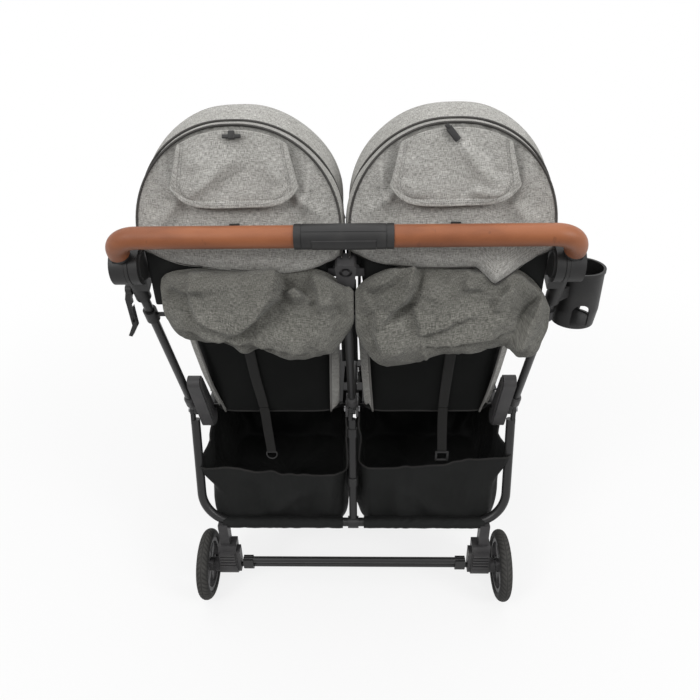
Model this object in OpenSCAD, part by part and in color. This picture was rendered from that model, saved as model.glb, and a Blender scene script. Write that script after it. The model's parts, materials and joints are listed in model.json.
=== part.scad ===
// Side by side double stroller: a folding tube frame with two reclining seats,
// two swing canopies with lift-up peek flaps, a tilting push bar and swivel front casters.
// Millimetres. The origin is on the floor under the middle of the rear axle,
// +Y points the way the stroller travels, +X to its right and +Z up.

/* [Frame] */
// Distance of each side tube from the middle plane
side_x = 346; // [345:0.5:347]
// Distance of the fold joint in front of the rear axle
joint_y = 80; // [78:1:82]
// Height of the fold joint
joint_z = 482; // [480:1:484]
// Distance of the push bar hubs in front of the rear axle
hub_y = -118; // [-120:1:-116]
// Height of the push bar hubs
hub_z = 908; // [906:1:910]
// Distance of the rear cross tube in front of the rear axle
cross_y = 14; // [12:1:16]
// Height of the rear cross tube
cross_z = 208; // [206:1:210]
// Diameter of the upper tubes
upper_d = 16; // [15:0.5:16]
// Diameter of the rear frame tube
rear_d = 20; // [18:0.5:20]
// Diameter of the middle tubes
middle_d = 18; // [16:0.5:18]
// Radius of the rear frame's bottom corners
rear_bend = 75; // [70:1:80]
// Diameter of the front legs
leg_d = 20; // [18:0.5:20]
// Distance of each front leg from the middle plane
leg_x = 321; // [320:0.5:321]
// Radius of the bend in the front legs
leg_bend = 80; // [75:1:85]

/* [Wheels] */
// Diameter of the rear wheels
rear_wheel_d = 165; // [160:1:168]
// Width of the rear tyres
rear_wheel_w = 28; // [26:1:28]
// Distance of each rear wheel from the middle plane
rear_wheel_x = 348; // [348:0.5:349]
// Diameter of the front wheels
front_wheel_d = 150; // [146:1:152]
// Width of the front tyres
front_wheel_w = 26; // [24:1:26]
// Distance of each caster from the middle plane
caster_x = 300; // [299:0.5:301]
// Distance of the caster pivots in front of the rear axle
caster_y = 576; // [574:1:578]
// Distance of the front axle behind the caster pivot
caster_trail = 28; // [26:1:30]

/* [Push bar] */
// Distance of the push bar in front of the rear axle
bar_y = -165; // [-167:1:-163]
// Height of the push bar
bar_z = 973; // [971:1:975]
// Distance of each bar arm from the middle plane
arm_x = 350; // [349:0.5:351]
// Diameter of the push bar tube
bar_d = 22; // [21:0.5:22]
// Diameter over the leather grips
grip_d = 34; // [32:0.5:34]
// Radius of the push bar's corners
bar_bend = 40; // [38:1:40]
// Length of the fold housing in the middle of the bar
housing_l = 147; // [144:1:150]
// Diameter of the fold housing
housing_d = 38; // [37:0.5:39]
// Travel of the fold trigger
trigger_travel = 6; // [4:0.5:6]
// Radius of the push bar hubs
hub_r = 30; // [28:0.5:30]

/* [Canopies] */
// Distance of the canopy pivot up the upper tube from the fold joint
canopy_at = 343; // [341:1:345]
// Width of each canopy
canopy_w = 310; // [308:1:310]
// Height of the swinging front canopy over its pivot
front_hood_r = 347; // [345:1:349]
// Height of the fixed rear canopy over its pivot
rear_hood_r = 333; // [332:1:334]
// Radius of the canopy arch at its shoulders
hood_corner = 140; // [136:1:142]
// Thickness of the canopy cloth with its lining
hood_wall = 3; // [2.5:0.5:3]
// Height of the hem under the rear canopy panel
hem_z = 905; // [900:1:910]

/* [Seats] */
// Distance of each seat's middle from the middle plane
seat_x = 160; // [159:0.5:161]
// Width of the seat cushions
seat_w = 266; // [260:1:268]
// Length of the seat backs
back_l = 415; // [405:1:417]
// Lean of the seat backs from upright
back_lean = 22; // [21:0.5:23]
// Length of the leg rests
leg_rest_l = 150; // [140:1:155]

/* [Baskets and cup] */
// Depth of each basket from front to back
basket_l = 316; // [310:1:318]
// Height of the basket's back wall
basket_h = 150; // [140:1:155]
// Inside diameter of the cup holder
cup_d = 74; // [72:0.5:75]
// Height of the cup holder
cup_h = 103; // [98:1:105]

/* [Hidden] */
$fn = 64;
fit = 0.06;
gap = 0.4;

// Side view points are [y, z]
joint = [joint_y, joint_z];
hub = [hub_y, hub_z];
cross_tube = [cross_y, cross_z];
bar = [bar_y, bar_z];
axle = [0, rear_wheel_d / 2];
front_axle = [caster_y - caster_trail, front_wheel_d / 2];
upper_l = norm(hub - joint);
upper_dir = (hub - joint) / upper_l;
upper_tilt = atan2(-upper_dir.x, upper_dir.y);
rear_l = norm(joint - cross_tube);
rear_tilt = atan2(cross_y - joint_y, joint_z - cross_z);
arm_l = norm(bar - hub);
arm_tilt = atan2(hub_y - bar_y, bar_z - hub_z);
canopy_pivot = joint + upper_dir * canopy_at;
trigger_tilt = -41;

// Fold joint: eyes on one bolt, the upper tube inside and the rear tube outside
bolt_r = 4;
eye_r = 12;
eye_w = 16;
tube_start = 24;
upper_eye = [side_x - 8, side_x - 0.5];
rear_eye = [side_x + 0.5, side_x + 8];
housing_x = [308, side_x - 12.4];

// Front legs run level under the seats and then bend down to the casters
leg_z = 458;
center_leg_z = 470;
leg_back_y = 112;
leg_knee_y = 350;
leg_foot = [545, 235];
leg_dir = (leg_foot - [leg_knee_y, leg_z]) / norm(leg_foot - [leg_knee_y, leg_z]);
front_cross_y = 505;
front_cross = [front_cross_y, leg_z + (front_cross_y - leg_knee_y) * leg_dir.y / leg_dir.x];
center_leg_dir = (front_cross - [leg_knee_y, center_leg_z])
    / norm(front_cross - [leg_knee_y, center_leg_z]);
front_cross_d = 18;

// Seats
seat_hinge = [96, 480];
board_z = leg_z + leg_d / 2 + 0.1;
board_t = 6;
pad_y = [145, 352];
leg_rest_hinge = [362, 442];
leg_rest_tilt = 210;

// Canopies, measured from the middle of the right hand one
canopy_x = 167;
half_w = canopy_w / 2;
front_sides_from = 232;
rear_sides_from = 170;
front_hood = [25, 84];
rear_hood = [74, 92];
bow_d = 8;
bow_tilt = rear_hood[1] - 90;
front_bow_at = 27;
rear_arch_top = canopy_pivot.y + rear_hood_r - hood_wall;
rear_panel_y = [-123, canopy_pivot.x - 20];
panel_bulge = 9;
hem_roll = 16;
flap_z = [997, 1084];
flap_u = [0.19, 0.81];
flap_gap = 2.4;
flap_t = 2;

// Sizes of the smaller pieces
lug_x = [239, 262];
bracket_x = [268, 332];
strut_x = 301;
brake_up = 19.4;
cup_pos = [399, -40];
cup_z = 765;
cup_wall = 3;
latch_at = [-93, 855];

black = "#1b1b1c";
plastic = "#2b2a2c";
tan_leather = "#a8542a";
cloth = "#8c8b89";
dark_cloth = "#161617";

// Turns a direction or a station along a piece into space
function unit(v) = v / norm(v);
function space(p, x = 0) = [x, p.x, p.y];
function power(v, p) = sign(v) * pow(abs(v), p);

// Rounded cross section, anticlockwise: half width, height below and above, squareness
function section(w, low, high, square, n, x = 0, y = 0) = [
    for (i = [0:n - 1])
        let (a = 360 * i / n, s = power(sin(a), square))
        [x + w * power(cos(a), square), y + (s < 0 ? low : high) * s]
];

// Mirrors a right hand piece to the left
module on_side(left) {
    if (left) mirror([1, 0, 0]) children();
    else children();
}

// Extrudes a side view outline from x0 to x1
module side_plate(x0, x1) {
    translate([x0, 0, 0]) rotate([90, 0, 90]) linear_extrude(x1 - x0) children();
}

// Round bar across the stroller at a side view point
module cross_rod(p, x0, x1, r) {
    translate([x0, p.x, p.y]) rotate([0, 90, 0]) cylinder(r = r, h = x1 - x0);
}

// Places a piece at a side view point with its own Z leaning back by tilt
module leaning(p, tilt, x = 0) {
    translate([x, p.x, p.y]) rotate([tilt, 0, 0]) children();
}

// Tube along a flat path with round bends, which swell a hair as bent tube does
module bent_tube(path, bend, d) {
    swell = 0.1;
    lap = 1;
    n = len(path);
    u = [for (i = [0:n - 2]) unit(path[i + 1] - path[i])];
    turn = [for (i = [1:1:n - 2]) atan2(cross(u[i - 1], u[i]), u[i - 1] * u[i])];
    back = [for (t = turn) bend * tan(abs(t) / 2)];
    for (i = [0:n - 2]) {
        a = path[i] + (i == 0 ? [0, 0] : u[i] * back[i - 1]);
        b = path[i + 1] - (i == n - 2 ? [0, 0] : u[i] * back[i]);
        in = i == 0 ? 0 : lap;
        translate([a.x, a.y, 0]) rotate([0, 0, atan2(u[i].y, u[i].x)]) rotate([0, 90, 0])
            translate([0, 0, -in]) cylinder(d = d, h = norm(b - a) + in + (i == n - 2 ? 0 : lap));
    }
    for (i = [0:1:n - 3]) {
        inward = sign(turn[i]) * [-u[i].y, u[i].x];
        c = path[i + 1] - u[i] * back[i] + inward * bend;
        from = atan2(-inward.y, -inward.x) + min(turn[i], 0);
        translate([c.x, c.y, 0]) rotate([0, 0, from])
            rotate_extrude(angle = abs(turn[i])) translate([bend, 0]) circle(d = d + swell);
    }
}

// Closed solid through rings of points that run anticlockwise about the way they stack
module loft(rings) {
    n = len(rings[0]);
    last = (len(rings) - 1) * n;
    walls = [
        for (j = [0:len(rings) - 2], i = [0:n - 1])
            let (a = j * n + i, b = j * n + (i + 1) % n)
            each [[a, b + n, b], [a, a + n, b + n]]
    ];
    ends = [for (i = [1:n - 2]) each [[0, i, i + 1], [last, last + i + 1, last + i]]];
    polyhedron([for (r = rings) each r], concat(walls, ends), convexity = 4);
}

// Closed sheet of cloth between a grid of points behind and the same grid in front
module sheet(behind, before) {
    m = len(behind);
    n = len(behind[0]);
    k = m * n;
    faces = [
        for (j = [0:m - 2], i = [0:n - 2])
            let (a = j * n + i, b = a + 1, c = a + n, d = c + 1)
            each [[a, b, d], [a, d, c], [k + a, k + d, k + b], [k + a, k + c, k + d]],
        for (i = [0:n - 2])
            let (a = i, b = i + 1, c = (m - 1) * n + i, d = c + 1)
            each [[a, k + a, k + b], [a, k + b, b], [c, d, k + d], [c, k + d, k + c]],
        for (j = [0:m - 2])
            let (a = j * n, c = a + n, b = a + n - 1, d = c + n - 1)
            each [[a, c, k + c], [a, k + c, k + a], [b, k + b, k + d], [b, k + d, d]]
    ];
    polyhedron([for (g = [behind, before]) each [for (r = g) each r]], faces, convexity = 6);
}

// Flat eye on the end of a tube, bored for the fold bolt
module eye(x, reach) {
    translate([x[0], 0, 0]) difference() {
        union() {
            rotate([0, 90, 0]) cylinder(r = eye_r, h = x[1] - x[0]);
            translate([0, -eye_w / 2, min(0, reach)]) cube([x[1] - x[0], eye_w, abs(reach)]);
        }
        translate([-1, 0, 0]) rotate([0, 90, 0]) cylinder(r = bolt_r + fit, h = x[1] - x[0] + 2);
    }
}

// Chassis

module leg_path(z, foot, d) {
    rotate([90, 0, 90]) bent_tube([[leg_back_y, z], [leg_knee_y, z], foot], leg_bend, d);
}

module front_leg(left) {
    color(black) on_side(left) translate([leg_x, 0, 0]) leg_path(leg_z, leg_foot, leg_d);
}

module front_leg_center() {
    saddle_r = front_cross_d / 2 + 4;
    color(black) difference() {
        union() {
            leg_path(center_leg_z, front_cross - center_leg_dir * (saddle_r - 2), middle_d);
            cross_rod(front_cross, -middle_d / 2 - 3, middle_d / 2 + 3, saddle_r);
        }
        cross_rod(front_cross, -middle_d, middle_d, front_cross_d / 2 + fit);
    }
}

module front_cross_tube() {
    reach = leg_x - leg_d / 2 - 0.1;
    color(black) cross_rod(front_cross, -reach, reach, front_cross_d / 2);
}

// Moulded cover over the fold joint, with the socket that holds the front leg
module joint_housing(left) {
    low = 34;
    high = 112;
    color(plastic) on_side(left) difference() {
        union() {
            for (x = [[housing_x[0], housing_x[1], 0], [housing_x[0] - 3, housing_x[0] + 1, 4]])
                translate([x[0], joint.x, joint.y]) rotate([upper_tilt, 0, 0])
                    rotate([90, 0, 90]) linear_extrude(x[1] - x[0]) {
                        translate([0, -low]) circle(r = 20 - x[2]);
                        translate([0, high]) circle(r = 14 - x[2]);
                        polygon([[x[2] - 20, -low], [20 - x[2], -low], [14 - x[2], high], [x[2] - 14, high]]);
                    }
            translate([leg_x, leg_back_y - 20, leg_z]) rotate([-90, 0, 0]) cylinder(r = 12.5, h = 50);
        }
        translate([leg_x, leg_back_y, leg_z]) rotate([-90, 0, 0]) cylinder(d = leg_d + 2 * fit, h = 60);
        cross_rod(joint, housing_x[0] - 9, housing_x[1] + 1, bolt_r + fit);
    }
}

module joint_housing_center() {
    cheek = [middle_d / 2 - 0.4, middle_d / 2 + 4.6];
    color(plastic) difference() {
        union() {
            for (left = [true, false])
                on_side(left) side_plate(cheek[0], cheek[1]) {
                    translate(joint) circle(r = 18);
                    polygon([joint + [0, 18], joint + [38, 4], joint + [58, 2], joint + [58, -24],
                        joint + [30, -22], joint + [9, -15.5]]);
                }
            translate([0, joint_y + 30, center_leg_z]) rotate([-90, 0, 0]) cylinder(r = 13, h = 28);
        }
        translate([0, leg_back_y, center_leg_z]) rotate([-90, 0, 0]) cylinder(d = middle_d + 2 * fit, h = 60);
        cross_rod(joint, -20, 20, bolt_r + fit);
        translate([0, joint_y, joint_z]) rotate([0, 90, 0]) cylinder(r = 28.5, h = 2 * cheek[0], center = true);
    }
}

module pivot_bolts() {
    color("silver") {
        for (left = [true, false]) on_side(left) {
            cross_rod(joint, housing_x[0] - 2, rear_eye[1] + 0.6, bolt_r);
            cross_rod(joint, rear_eye[1] + 0.6, rear_eye[1] + 4, 7);
        }
        cross_rod(joint, -14.4, 14.4, bolt_r);
        for (left = [true, false]) on_side(left) cross_rod(joint, 14.4, 17, 6.5);
    }
}

// Seat bases: boards hung between the legs by tabs
module seat_boards() {
    outer = 302;
    inner = 22;
    tab_w = 30;
    color(plastic) for (left = [true, false]) on_side(left) {
        translate([inner, 120, board_z]) cube([outer - inner, 225, board_t]);
        for (y = [170, 272]) {
            translate([outer, y, board_z]) cube([leg_x + leg_d / 2 - outer, tab_w, 3]);
            translate([middle_d / 2 + 0.3, y, board_z]) cube([inner - middle_d / 2 - 0.3, tab_w, 3]);
        }
    }
}

// Cushion stations along its length: rounded ends, drawn-in sides and sewn channels
function cushion(length, w, low, high, channels, start = 0) = [
    for (s = [0, 0.02, 0.06, 0.14, 0.22, 0.3, 0.38, 0.46, 0.54, 0.62, 0.7, 0.78, 0.86, 0.94, 0.98, 1])
        let (
            edge = sqrt(1 - pow(2 * max(0, 0.5 - min(s, 1 - s) / 0.12), 2) * 0.8),
            close = min(1, 0.35 + 0.65 * sqrt(min(1, min(s, 1 - s) / 0.06))),
            sewn = 1 - 0.22 * pow(abs(cos(180 * channels * s)), 8),
            waist = 1 - 0.025 * sin(180 * s)
        )
        [for (p = section(w / 2 * waist * (0.86 + 0.14 * min(close, edge)), low * close * sewn,
            high * close * sewn, 0.42, 24)) [p.x, p.y, start + s * length]]
];

module seat_pad(left) {
    pad_t = [13, 20];
    color(cloth) on_side(left)
        translate([seat_x, pad_y[0], board_z + board_t + pad_t[0] + 0.3]) rotate([90, 0, 180])
            loft(cushion(pad_y[1] - pad_y[0], seat_w, pad_t[0], pad_t[1], 3));
}

// Crotch straps with their buckles
module harness_buckles() {
    strap = [30, 3, 32];
    buckle = [48, 13, 40];
    base_z = board_z + board_t + 34;
    color(black) for (left = [true, false]) on_side(left) translate([seat_x, 238, base_z]) {
        translate([-strap.x / 2, -strap.y / 2, 0]) cube(strap);
        translate([0, buckle.y / 2, strap.z - 18]) rotate([90, 0, 0]) linear_extrude(buckle.y)
            intersection() {
                circle(d = buckle.x);
                translate([-buckle.x / 2, -14]) square([buckle.x, 32]);
            }
    }
}

// Foot of a front leg with the upright barrel that the caster stem turns in
module caster_housing(left) {
    barrel = [176, 232];
    stem_r = 6;
    color(plastic) on_side(left) difference() {
        union() {
            translate([leg_x, leg_foot.x, leg_foot.y]) rotate([atan2(leg_dir.y, leg_dir.x) - 90, 0, 0])
                translate([0, 0, -46]) cylinder(r = 14.5, h = 52);
            translate([caster_x, caster_y, barrel[0]]) cylinder(r = 20, h = barrel[1] - barrel[0]);
            translate([caster_x, caster_y, barrel[1]]) cylinder(r1 = 20, r2 = 14, h = 5);
            translate([caster_x, leg_foot.x - 14, barrel[0] + 10]) cube([leg_x - caster_x + 8, 34, 46]);
        }
        translate([leg_x, leg_foot.x, leg_foot.y]) rotate([atan2(leg_dir.y, leg_dir.x) - 90, 0, 0])
            translate([0, 0, -80]) cylinder(d = leg_d + 2 * fit, h = 80);
        translate([caster_x, caster_y, barrel[0] - 1]) cylinder(r = stem_r + fit, h = 46);
    }
}

// Open cloth basket: rings climb the outside and go down the inside
module basket(left) {
    wall = 3;
    floor_y = 30;
    floor_z = 198;
    mid_x = 170;
    half = 158;
    // Height of the rim: low at the rear for access, up under the seat further forward
    function rise(t) = let (s = min(1, max(0, t))) s * s * (3 - 2 * s);
    function rim(y) = floor_z + basket_h + 77 * rise((y - 60) / 90) - 20 * rise((y - 290) / 70);
    // Outline of the wall at a share h of its height
    function ring(h, inset, drop) = let (
        spread = 1 - 0.09 * pow(1 - h, 2) - (h == 0 ? 0.05 : 0),
        belly = 1 + 0.02 * sin(180 * h)
    ) [for (p = section(half * spread * belly - inset, basket_l / 2 * spread - inset,
            basket_l / 2 * spread - inset, 0.28, 32))
        let (y = floor_y + basket_l / 2 + p.y + 14 * h, base = floor_z + drop + 14 * (0.5 + p.y / basket_l))
        [mid_x + p.x, y, base + h * (rim(y) - base)]];
    steps = [0, 0.05, 0.2, 0.5, 0.8, 1];
    color(dark_cloth) on_side(left) {
        loft(concat([for (h = steps) ring(h, 0, 0)],
            [for (i = [len(steps) - 1:-1:0]) ring(steps[i], wall, i == 0 ? wall : 0)]));
        // Hem sewn round the cross tube
        difference() {
            cross_rod(cross_tube, 40, 262, rear_d / 2 + 2.6);
            cross_rod(cross_tube, 30, 272, rear_d / 2 + 0.15);
        }
        // Straps up to the front leg
        for (y = [200, 290])
            translate([leg_x + leg_d / 2 + 0.1, y, 300]) cube([2, 25, 165]);
    }
}

// Upper frame

module upper_tube(left) {
    color(black) on_side(left) {
        leaning(joint, upper_tilt) eye(upper_eye, tube_start);
        leaning(joint, upper_tilt, side_x) translate([0, 0, tube_start])
            cylinder(d = upper_d, h = upper_l - tube_start - hub_r - 4);
    }
}

module upper_tube_center() {
    color(black) leaning(joint, upper_tilt) {
        eye([gap, middle_d / 2 - 1.1], tube_start);
        translate([0, 0, tube_start]) cylinder(d = upper_d, h = upper_l - tube_start - 12);
    }
}

// Lock collars on the lower ends of the upper tubes
module lock_collars() {
    color(plastic) for (x = [-side_x, 0, side_x])
        leaning(joint, upper_tilt, x) difference() {
            union() {
                translate([0, 0, tube_start + 2]) cylinder(d = upper_d + 8, h = 22);
                translate([0, 0, tube_start + 24]) cylinder(d1 = upper_d + 8, d2 = upper_d + 4, h = 6);
            }
            translate([0, 0, tube_start]) cylinder(d = upper_d + 2 * fit, h = 40);
        }
}

// Inner half of a push bar hub with the socket for the upper tube and the bow seat
module hub_inner(left) {
    face = [side_x - 21, side_x];
    neck = 47;
    pin_r = 6;
    color(plastic) on_side(left) {
        difference() {
            union() {
                cross_rod(hub, face[0], face[1], hub_r);
                cross_rod(hub, face[0] - 3, face[0], hub_r - 7);
                leaning(hub, upper_tilt) translate([face[0], -13, -48]) cube([side_x - face[0], 26, 48]);
                leaning(hub, upper_tilt, side_x) translate([0, 0, -hub_r - 1.5 - neck]) cylinder(r = 13, h = neck);
                translate([canopy_x + 133, -104, 881]) cube([face[0] - canopy_x - 131, 45, 14]);
            }
            leaning(hub, upper_tilt, side_x) translate([0, 0, -90]) cylinder(d = upper_d + 2 * fit, h = 86 - hub_r);
            bow_leg(147 - bow_d / 2, 60, 130, bow_d + 4 * fit);
            // Ring groove round the rim
            translate([face[0] + 14, hub.x, hub.y]) rotate([0, 90, 0]) difference() {
                cylinder(r = hub_r + 1, h = 1.6);
                cylinder(r = hub_r - 1.2, h = 1.6);
            }
        }
        cross_rod(hub, face[1], face[1] + 25, pin_r);
        cross_rod(hub, face[1] + 25, face[1] + 28, pin_r + 5);
        if (left) cross_rod(latch_at, side_x + 12, side_x + 25, 3);
    }
}

// One straight leg of a rear canopy bow, used to bore its seats
module bow_leg(at, from, to, d) {
    leaning(canopy_pivot, bow_tilt, canopy_x + at) translate([0, 0, from]) cylinder(d = d, h = to - from);
}

// Head on the middle tube: a tapered block with a round recess and the inner seats of both rear bows
module center_bracket() {
    half = [12.5, 17];
    depth = 27;
    back = 13;
    recess_r = 10.5;
    color(plastic) difference() {
        union() {
            leaning(joint, upper_tilt) rotate([90, 0, 0]) translate([0, 0, back - depth]) linear_extrude(depth)
                polygon([[-half[0], upper_l - 44], [half[0], upper_l - 44], [half[1], upper_l + 4],
                    [half[1] - 4, upper_l + 11], [4 - half[1], upper_l + 11], [-half[1], upper_l + 4]]);
            translate([-32, -104, 881]) cube([64, 45, 14]);
        }
        leaning(joint, upper_tilt) translate([0, 0, 200]) cylinder(d = upper_d + 2 * fit, h = upper_l - 211);
        leaning(joint, upper_tilt) translate([0, 4 - back, upper_l - 6]) rotate([90, 0, 0]) difference() {
            cylinder(r = recess_r, h = 6);
            translate([0, 0, -1]) cylinder(r = recess_r - 5, h = 8);
        }
        for (left = [true, false]) on_side(left) bow_leg(-147 + bow_d / 2, 60, 130, bow_d + 4 * fit);
    }
}

// Clips round the upper tubes with the pins that the canopies swing on
module canopy_mounts() {
    color(plastic) for (x = [-side_x, 0, side_x]) {
        difference() {
            union() {
                leaning(canopy_pivot, upper_tilt, x) translate([0, 0, -13]) cylinder(r = 12, h = 26);
                if (x == 0) cross_rod(canopy_pivot, -21.5, 21.5, 4);
                else cross_rod(canopy_pivot, x > 0 ? x - 33 : x, x > 0 ? x : x + 33, 4);
            }
            leaning(canopy_pivot, upper_tilt, x) translate([0, 0, -20]) cylinder(d = upper_d + 2 * fit, h = 40);
        }
    }
}

// Arch of a canopy across the seat, as a half section to revolve about the pivot
module arch(r, half, corner) {
    flat = half - corner;
    translate([0, -half]) square([r - corner, 2 * half]);
    translate([0, -flat]) square([r, 2 * flat]);
    for (s = [-1, 1]) translate([r - corner, s * flat]) circle(r = corner);
}

module hood_shell(r, half, sweep, sides_from) {
    translate([canopy_x, canopy_pivot.x, canopy_pivot.y]) rotate([90, 0, 90]) rotate([0, 0, sweep[0]])
        rotate_extrude(angle = sweep[1] - sweep[0]) difference() {
            arch(r, half, hood_corner);
            arch(r - hood_wall, half - hood_wall, hood_corner - hood_wall);
            translate([-1, -half - 1]) square([sides_from + 1, 2 * half + 2]);
        }
}

// Wire bow that follows the arch
module bow(at, half, r, from, d) {
    leaning(canopy_pivot, at - 90, canopy_x) rotate([90, 0, 0])
        bent_tube([[-half, from], [-half, r], [half, r], [half, from]], hood_corner - (half_w - half), d);
}

// Half width of the rear arch at a height
function arch_half(z, half) = let (spring = rear_arch_top - hood_corner)
    z < spring ? half
        : half - hood_corner + sqrt(max(0, hood_corner * hood_corner - pow(z - spring, 2)));

// Point of the rear panel: u across, z up, moved back by off
function panel_point(u, z, off) = let (
    s = 2 * u - 1,
    v = (z - hem_z) / (rear_arch_top - hem_z),
    y = rear_panel_y[0] + (rear_panel_y[1] - rear_panel_y[0]) * v,
    puff = panel_bulge * sin(180 * min(1, max(0, v))) * (1 - s * s)
) [canopy_x + s * arch_half(z, half_w - 6), y - puff - off, z];

// Fixed rear part of a canopy: its bow, the cloth over it and the panel down to the hem
module canopy_rear(left) {
    across = [for (i = [0:14]) i / 14];
    // The hem hangs lower in the middle and rolls forward and under, less so towards its ends
    function roll_z(u) = hem_z + hem_roll + 14 * pow(2 * u - 1, 4);
    function roll(u, t, off) = let (
        a = t * (40 + 110 * (1 - pow(2 * u - 1, 4))),
        p = panel_point(u, roll_z(u), hood_wall),
        r = hem_roll - hood_wall + off
    ) [p.x, p.y + hem_roll - r * cos(a), p.z - r * sin(a)];
    function column(u, off) = concat([for (t = [1:-0.2:0.1]) roll(u, t, off)],
        [for (i = [0:11]) panel_point(u, roll_z(u) + (rear_arch_top - 3 - roll_z(u)) * sin(90 * i / 11), off)]);
    color(cloth) on_side(left) {
        hood_shell(rear_hood_r, half_w - 4, rear_hood, rear_sides_from);
        bow(rear_hood[1], 147 - bow_d / 2, rear_hood_r - hood_wall - bow_d / 2 - 1, 94, bow_d);
        sheet([for (u = across) column(u, hood_wall)], [for (u = across) column(u, 0)]);
        translate([canopy_x - 8, canopy_pivot.x - 24, rear_arch_top - 11]) cube([16, 14, 6]);
    }
}

// Swinging front part of a canopy with its bow and pivot eyes
module canopy_front(left) {
    bow_half = half_w - hood_wall - 2;
    wire = 6;
    ring_r = 8;
    color(cloth) on_side(left) {
        hood_shell(front_hood_r, half_w, front_hood, front_sides_from);
        bow(front_bow_at, bow_half - wire / 2, front_hood_r - hood_wall - wire / 2 - 1, ring_r - 2, wire);
        for (s = [-1, 1]) {
            at = canopy_x + s * (bow_half - wire / 2);
            difference() {
                cross_rod(canopy_pivot, at - wire / 2 - 0.5, at + wire / 2 + 0.5, ring_r);
                cross_rod(canopy_pivot, at - wire, at + wire, 4 + fit);
            }
            // Tab that sews the cloth to the bow
            leaning(canopy_pivot, front_bow_at - 90, at) translate([s > 0 ? -5 : -2.5, -2, 236]) cube([7.5, 4, 8]);
        }
    }
}

// Peek flap sewn along its top edge to the rear panel
module flap(left) {
    across = [for (i = [0:10]) flap_u[0] + (flap_u[1] - flap_u[0]) * i / 10];
    up = [for (i = [0:8]) i / 8];
    // The two lower corners are rounded
    function height(u, t) = let (s = abs(2 * (u - flap_u[0]) / (flap_u[1] - flap_u[0]) - 1))
        flap_z[1] - (flap_z[1] - flap_z[0] - 22 * pow(s, 6)) * (1 - t);
    color(cloth) on_side(left)
        sheet([for (u = across) [for (t = up) panel_point(u, height(u, t), hood_wall + flap_gap + flap_t)]],
            [for (u = across) [for (t = up) panel_point(u, height(u, t), hood_wall + flap_gap)]]);
}

// Cup holder with arched windows in its lower wall
module cup_holder() {
    r = cup_d / 2;
    ring_h = 52;
    color(black) translate([cup_pos.x, cup_pos.y, cup_z]) difference() {
        union() {
            cylinder(r1 = r - 1, r2 = r + cup_wall, h = 30);
            translate([0, 0, 30]) cylinder(r = r + cup_wall, h = cup_h - 30);
            translate([0, 0, cup_h - 5]) cylinder(r = r + cup_wall + 1.5, h = 5);
        }
        translate([0, 0, cup_h - ring_h]) cylinder(r = r, h = ring_h + 1);
        translate([0, 0, 4]) cylinder(r1 = r - 5, r2 = r - 1.5, h = cup_h - ring_h - 3);
        for (a = [30:120:270]) rotate([0, 0, a]) rotate([90, 0, 90]) translate([0, 0, 8]) linear_extrude(50) {
            translate([0, 32]) circle(r = 15);
            translate([-15, 6]) square([30, 26]);
        }
    }
}

module cup_clamp() {
    at = joint + upper_dir * 389;
    color(black) difference() {
        union() {
            leaning(at, upper_tilt, side_x) translate([0, 0, -13]) cylinder(r = 12.5, h = 26);
            translate([side_x + 2, at.x, at.y - 10]) rotate([0, 0, 40]) translate([4, -8, 0]) cube([30, 16, 20]);
        }
        leaning(at, upper_tilt, side_x) translate([0, 0, -30]) cylinder(d = upper_d + 2 * fit, h = 60);
        translate([cup_pos.x, cup_pos.y, cup_z - 1]) cylinder(r = cup_d / 2 + cup_wall + 0.05, h = cup_h + 2);
    }
}

// Hook that keeps the folded frame shut
module storage_latch() {
    x0 = side_x + 13.5;
    hook_w = 10;
    drop = 66;
    color(black) mirror([1, 0, 0]) difference() {
        union() {
            cross_rod(latch_at, x0, x0 + hook_w, 9);
            translate([x0 + hook_w / 2, latch_at.x, latch_at.y]) rotate([90, 0, 0]) translate([0, 0, -6])
                linear_extrude(12) polygon([[-5, 0], [5, 0], [9, -16], [6, -drop], [16, -drop - 20],
                    [10, -drop - 22], [-2, -drop - 2], [0, -18]]);
        }
        cross_rod(latch_at, x0 - 1, x0 + hook_w + 6, 3 + fit);
        translate([x0 + 4.5, latch_at.x - 7, latch_at.y - drop + 6]) cube([4, 14, 34]);
    }
}

// Rear frame

module rear_tube_path(d) {
    leaning(cross_tube, rear_tilt) rotate([90, 0, 0])
        bent_tube([[-side_x, rear_l - tube_start], [-side_x, 0], [side_x, 0], [side_x, rear_l - tube_start]],
            rear_bend, d);
}

module rear_tube() {
    color(black) {
        rear_tube_path(rear_d);
        for (left = [true, false]) on_side(left) leaning(joint, rear_tilt) eye(rear_eye, -tube_start - 9);
    }
}

module rear_center_tube() {
    foot = rear_d / 2 + 4;
    color(black) difference() {
        union() {
            leaning(cross_tube, rear_tilt) translate([0, 0, foot - 2])
                cylinder(d = middle_d, h = rear_l - tube_start - foot + 2);
            leaning(joint, rear_tilt) eye([1.1 - middle_d / 2, -gap], -tube_start);
            for (s = [96, 216]) leaning(cross_tube, rear_tilt) translate([0, 0, s])
                cylinder(d = middle_d + 5, h = 20);
            cross_rod(cross_tube, -middle_d / 2 - 3, middle_d / 2 + 3, foot);
        }
        cross_rod(cross_tube, -middle_d, middle_d, rear_d / 2 + fit);
    }
}

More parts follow.
